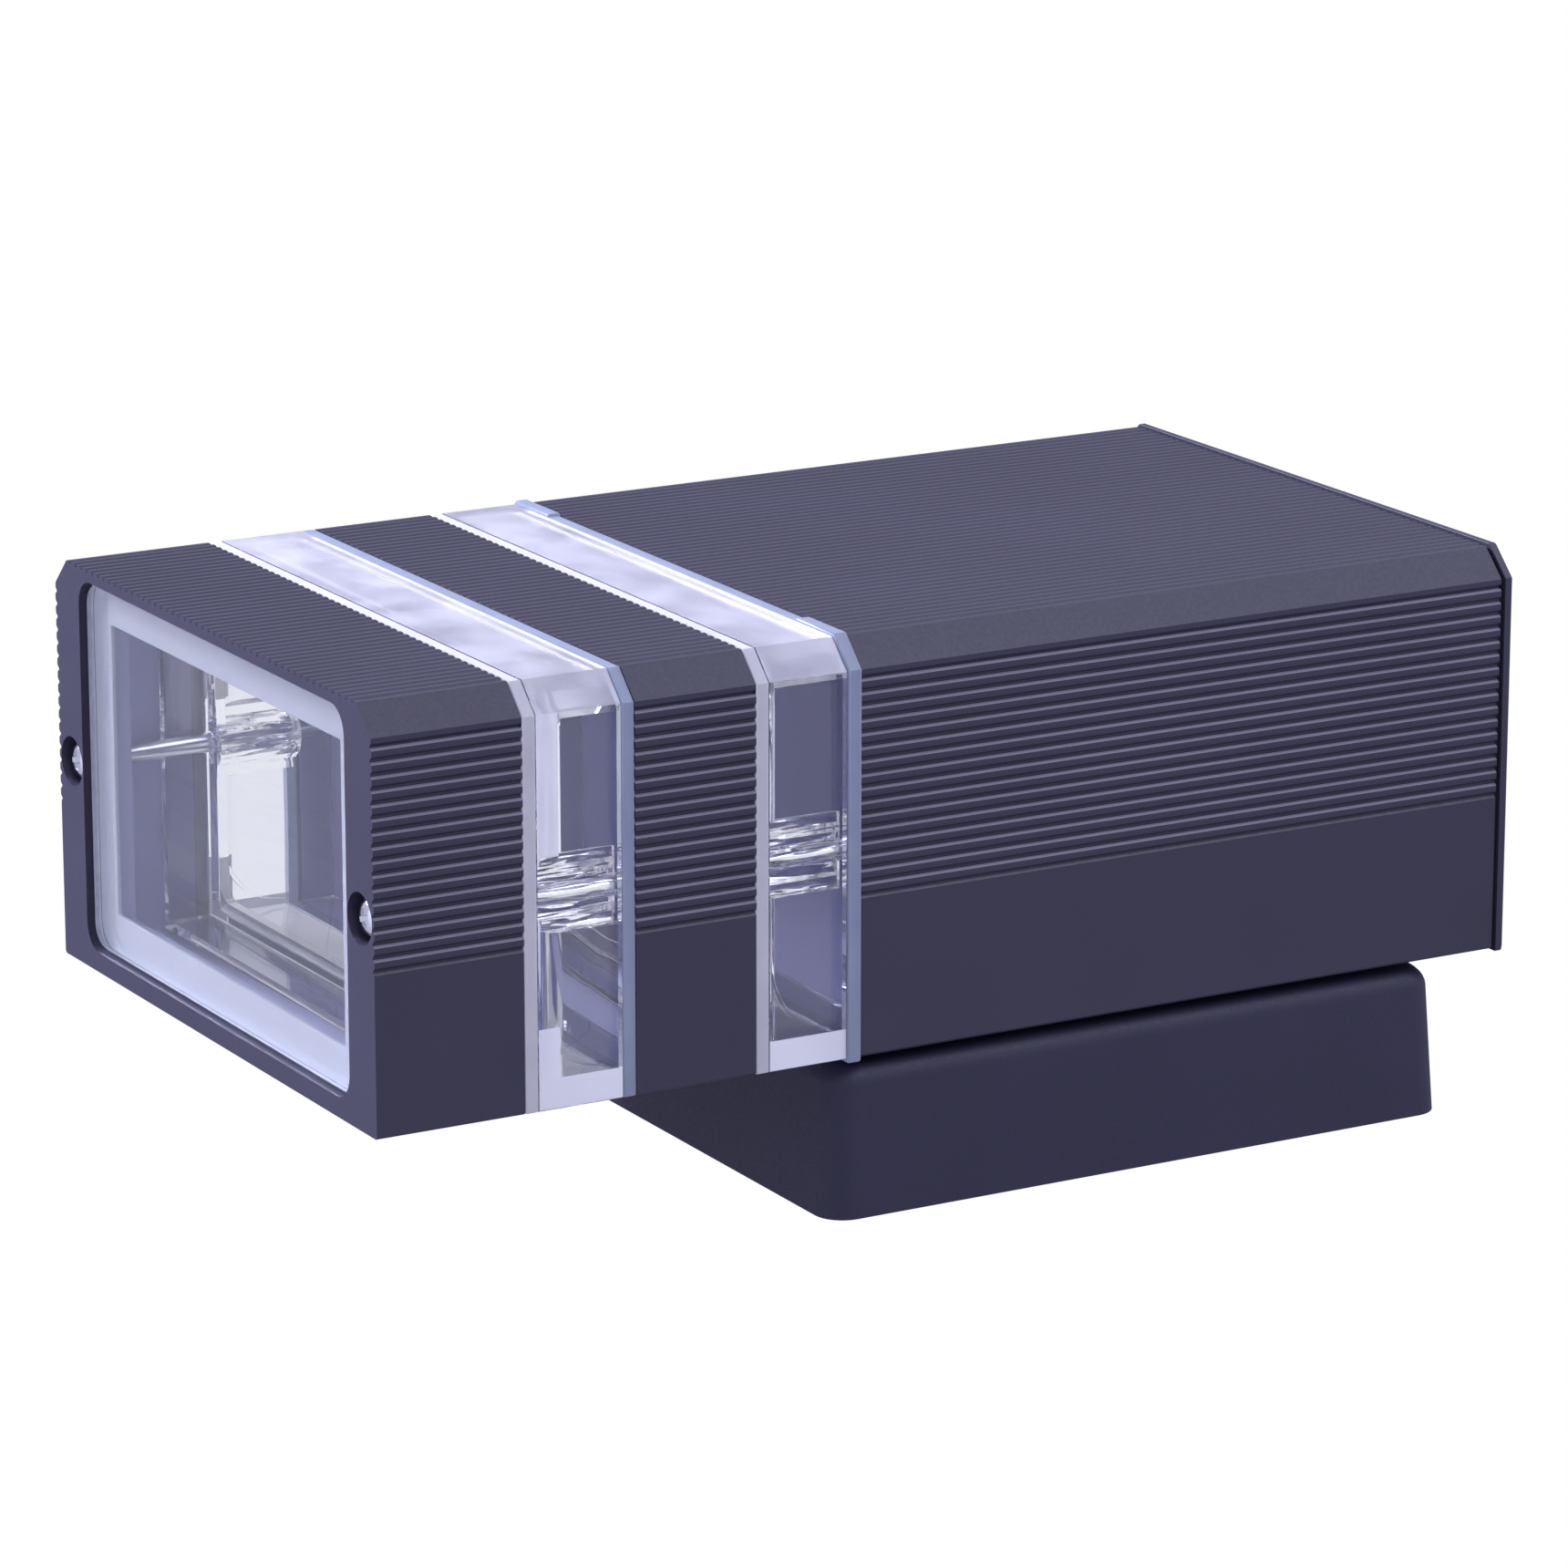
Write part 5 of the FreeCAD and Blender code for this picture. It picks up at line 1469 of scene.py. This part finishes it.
@dataclass
class KeptPieces:
    """Inner pieces: a softened copy where edges show, or the CAD node itself."""

    merge: float = 0.0005 * MM
    flat_under: float = 0.5
    smooth_under: float = 35.0
    round_over: float = 40.0

    def soft_copy(self, node: str, body: str, slot: str, edge: float, finish: Material) -> None:
        """A copy of a CAD node with merged faces and rounded edges.

        Args:
            node: The CAD node.
            body: CAD body it rides on.
            slot: Material slot of the record.
            edge: Width of the rounding.
            finish: Its material.
        """
        grid = bmesh.new()
        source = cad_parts[node]
        grid.from_mesh(source.data)
        grid.transform(source.matrix_world)
        bmesh.ops.remove_doubles(grid, verts=grid.verts, dist=self.merge)
        bmesh.ops.dissolve_limit(grid, angle_limit=math.radians(self.flat_under),
                                 verts=grid.verts, edges=grid.edges)
        item = link_grid(f"{node}_soft", grid, self.smooth_under)
        soften(item, edge, angle=self.round_over)
        place_piece(item, body, slot, node, finish)

    def repaint(self, node: str, finish: Material) -> None:
        """Gives a CAD node that stays its finish."""
        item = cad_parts[node]
        if not item.material_slots:
            item.data.materials.append(finish)
        for slot in item.material_slots:
            slot.material = finish
        LOG.info("%s keeps its CAD shape", node)

    def build(self) -> None:
        """Dresses every piece that no other class makes."""
        zinc, brass, rubber = ZINC_STEEL.make(), BRASS.make(), bpy.data.materials["black_rubber"]
        steatite, polyamide, nylon = STEATITE.make(), POLYAMIDE.make(), NYLON.make()
        bright = bpy.data.materials["bright_zinc_plate"]
        soft = (
            (HEAD, "steatite", steatite, {"lampholder": 0.5}),
            (HEAD, "zinc_steel", zinc, {
                "lampholder_bracket": 0.15, "head_stem_nut": 0.3, "box_stem_nut": 0.3,
                "swivel_stem": 0.25, "head_stem_washer": 0.12, "box_stem_washer": 0.12}),
            (HEAD, "nylon", nylon, {"swivel_disc": 0.2}),
            (HEAD, "black_rubber", rubber, {"tie_screw_seals": 0.12}),
            (WALL, "zinc_steel", zinc, {"wall_plate": 0.2}),
            (WALL, "black_rubber", rubber, {"cable_grommet": 0.6, "wall_seal": 0.5}),
            (WALL, "terminal_plastic", polyamide, {"terminal_block": 0.4}),
        )
        for body, slot, finish, edges in soft:
            for node, edge in edges.items():
                self.soft_copy(node, body, slot, edge * MM, finish)
        brown, blue, earth = BROWN.make(), BLUE.make(), EARTH.make()
        kept = {
            "lampholder_screws": bright, "box_screws": bright, "head_earth_screw": brass,
            "box_earth_screw": brass, "terminal_barrels": brass, "terminal_screws": brass,
            "head_live_lead": brown, "box_live_lead": brown, "head_neutral_lead": blue,
            "box_neutral_lead": blue, "head_earth_lead": earth, "box_earth_lead": earth,
            "box_earth_link": earth, "lead_sleeve": SLEEVE.make(),
        }
        for node, finish in kept.items():
            self.repaint(node, finish)


# ---- the studio ----


@dataclass
class Studio:
    """Pale floor, soft lights, white surround and the camera."""

    floor_level: float = -1.5
    floor_half: float = 6.0
    camera_place: tuple[float, float, float] = (0.8699, -0.3215, -0.5271)
    camera_right: tuple[float, float, float] = (0.4956, 0.0, 0.8685)
    camera_up: tuple[float, float, float] = (-0.2273, -0.9650, 0.1297)
    lens: float = 159.0
    sensor: float = 36.0
    near_glow: float = 0.8
    far_glow: float = 0.32
    dim_side: tuple[float, float, float] = (-0.5, 0.84, -0.2)
    dim_range: tuple[float, float] = (-0.4, 0.7)
    seen_surround: float = 1.02
    tint: str = "#E6E7FF"
    seen_tint: str = "#FDFDFF"
    bounces: int = 32
    key_place: tuple[float, float, float] = (0.9, -1.45, 0.8)
    key_size: float = 1.0
    key_power: float = 14.0
    window_place: tuple[float, float, float] = (-1.0, -0.78, -0.76)
    window_size: float = 0.5
    window_power: float = 50.0

    def build_floor(self) -> None:
        """A plain pale floor well below the lamp."""
        grid = bmesh.new()
        half = self.floor_half
        corners = [(-half, -half), (half, -half), (half, half), (-half, half)]
        grid.faces.new([grid.verts.new((x, y, self.floor_level)) for x, y in corners])
        floor = finish_mesh("floor", grid)
        floor.data.materials.append(FLOOR.make())
        floor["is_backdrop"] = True

    def build_light(self, name: str, place: Vector, size: float, power: float) -> None:
        """A large soft light that faces the lamp.

        Args:
            name: Name of the light.
            place: Where it stands.
            size: Side of its square face.
            power: Its power in watts.
        """
        light = bpy.data.lights.new(name, "AREA")
        light.size = size
        light.energy = power
        light.color = linear(self.tint)[:3]
        item = bpy.data.objects.new(name, light)
        bpy.context.scene.collection.objects.link(item)
        item.location = place
        item.rotation_mode = "QUATERNION"
        item.rotation_quaternion = (-place).to_track_quat("-Z", "Y")

    def build_surround(self) -> None:
        """A white surround, brighter where it is seen straight or through clear plastic."""
        world = bpy.data.worlds.new("white_surround")
        bpy.context.scene.world = world
        world.use_nodes = True
        sky = TreeMaker(world.node_tree)
        sky.tree.nodes.clear()
        path = sky.add("ShaderNodeLightPath")
        seen = sky.add("ShaderNodeMath", operation="MAXIMUM",
                       links={0: path.outputs["Is Camera Ray"],
                              1: path.outputs["Is Transmission Ray"]})
        place = sky.add("ShaderNodeTexCoord")
        lean = sky.add("ShaderNodeVectorMath", {1: self.dim_side},
                       {0: place.outputs["Generated"]}, operation="DOT_PRODUCT")
        bright, dim = self.dim_range
        glow_level = sky.add("ShaderNodeMapRange",
                             {"From Min": bright, "From Max": dim, "To Min": self.near_glow,
                              "To Max": self.far_glow}, {"Value": lean.outputs["Value"]})
        level = sky.add("ShaderNodeMapRange", {"To Max": self.seen_surround},
                        {"Value": seen.outputs[0], "To Min": glow_level.outputs["Result"]})
        colour = sky.add("ShaderNodeMix", {6: linear(self.tint), 7: linear(self.seen_tint)},
                         {0: seen.outputs[0]}, data_type="RGBA")
        glow = sky.add("ShaderNodeBackground",
                       links={"Color": colour.outputs[2], "Strength": level.outputs["Result"]})
        sky.add("ShaderNodeOutputWorld", links={"Surface": glow.outputs[0]})

    def build_camera(self) -> None:
        """The camera, long-lensed, below and beside the mounted lamp."""
        lens = bpy.data.cameras.new("camera")
        lens.lens = self.lens
        lens.sensor_width = self.sensor
        camera = bpy.data.objects.new("camera", lens)
        bpy.context.scene.collection.objects.link(camera)
        right, up = Vector(self.camera_right), Vector(self.camera_up)
        back = right.cross(up)
        turn = Matrix((right, up, back)).transposed().to_4x4()
        camera.matrix_world = Matrix.Translation(self.camera_place) @ turn
        bpy.context.scene.camera = camera

    def build(self) -> None:
        """Makes the whole studio."""
        scene = bpy.context.scene
        scene.view_settings.view_transform = "Standard"
        scene.cycles.max_bounces = self.bounces
        scene.cycles.transmission_bounces = self.bounces
        scene.cycles.glossy_bounces = self.bounces
        scene.cycles.diffuse_bounces = self.bounces // 4
        self.build_floor()
        self.build_surround()
        self.build_camera()
        self.build_light("key_soft", Vector(self.key_place), self.key_size, self.key_power)
        self.build_light("window_soft", Vector(self.window_place), self.window_size,
                         self.window_power)
        LOG.info("studio ready")


def write_size() -> None:
    """Works out the CAD box and the visual model's box, and keeps neither."""
    boxes = {"cad": CAD_BOUNDS, "visual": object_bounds()}
    {name: [list(corner) for corner in box] for name, box in boxes.items()}


def main() -> None:
    """Builds the studio and every piece in order."""
    logging.basicConfig(level=logging.INFO, format="%(message)s")
    Studio().build()
    rubber, silicone, zinc = BLACK_RUBBER.make(), SILICONE.make(), BRIGHT_ZINC.make()
    moulded = [finish.make() for finish in (CLEAR, CLEAR_BOSS, MILKY_PAINTED_REFLECTION, WHITE_PAINTED_EDGE_LIGHT)]
    section = Section.of_housing()
    shells = Shells(section, RibRows(section), COAT.make(), GROOVE_HIGHLIGHT_COAT.make(), INSIDE.make())
    shells.build_front()
    Window(shells).build(BORDER.make(), PANE.make(), GROUND.make())
    ClearBand(shells, "lower_clear_ring", 3.5 * MM, glow=True).build(*moulded)
    shells.build_middle()
    ClearBand(shells, "upper_clear_ring", 0.5 * MM).build(*moulded)
    Seals(shells).build(silicone, CLEARER.make())
    shells.build_housing()
    shells.build_cap(rubber)
    Fasteners(shells, Screws()).build(zinc)
    # The box's coat is darker than the head's: painted shade.
    WallBox().build(SHADED_BOX_COAT.make())
    KeptPieces().build()
    write_size()


if __name__ == "__main__":
    main()
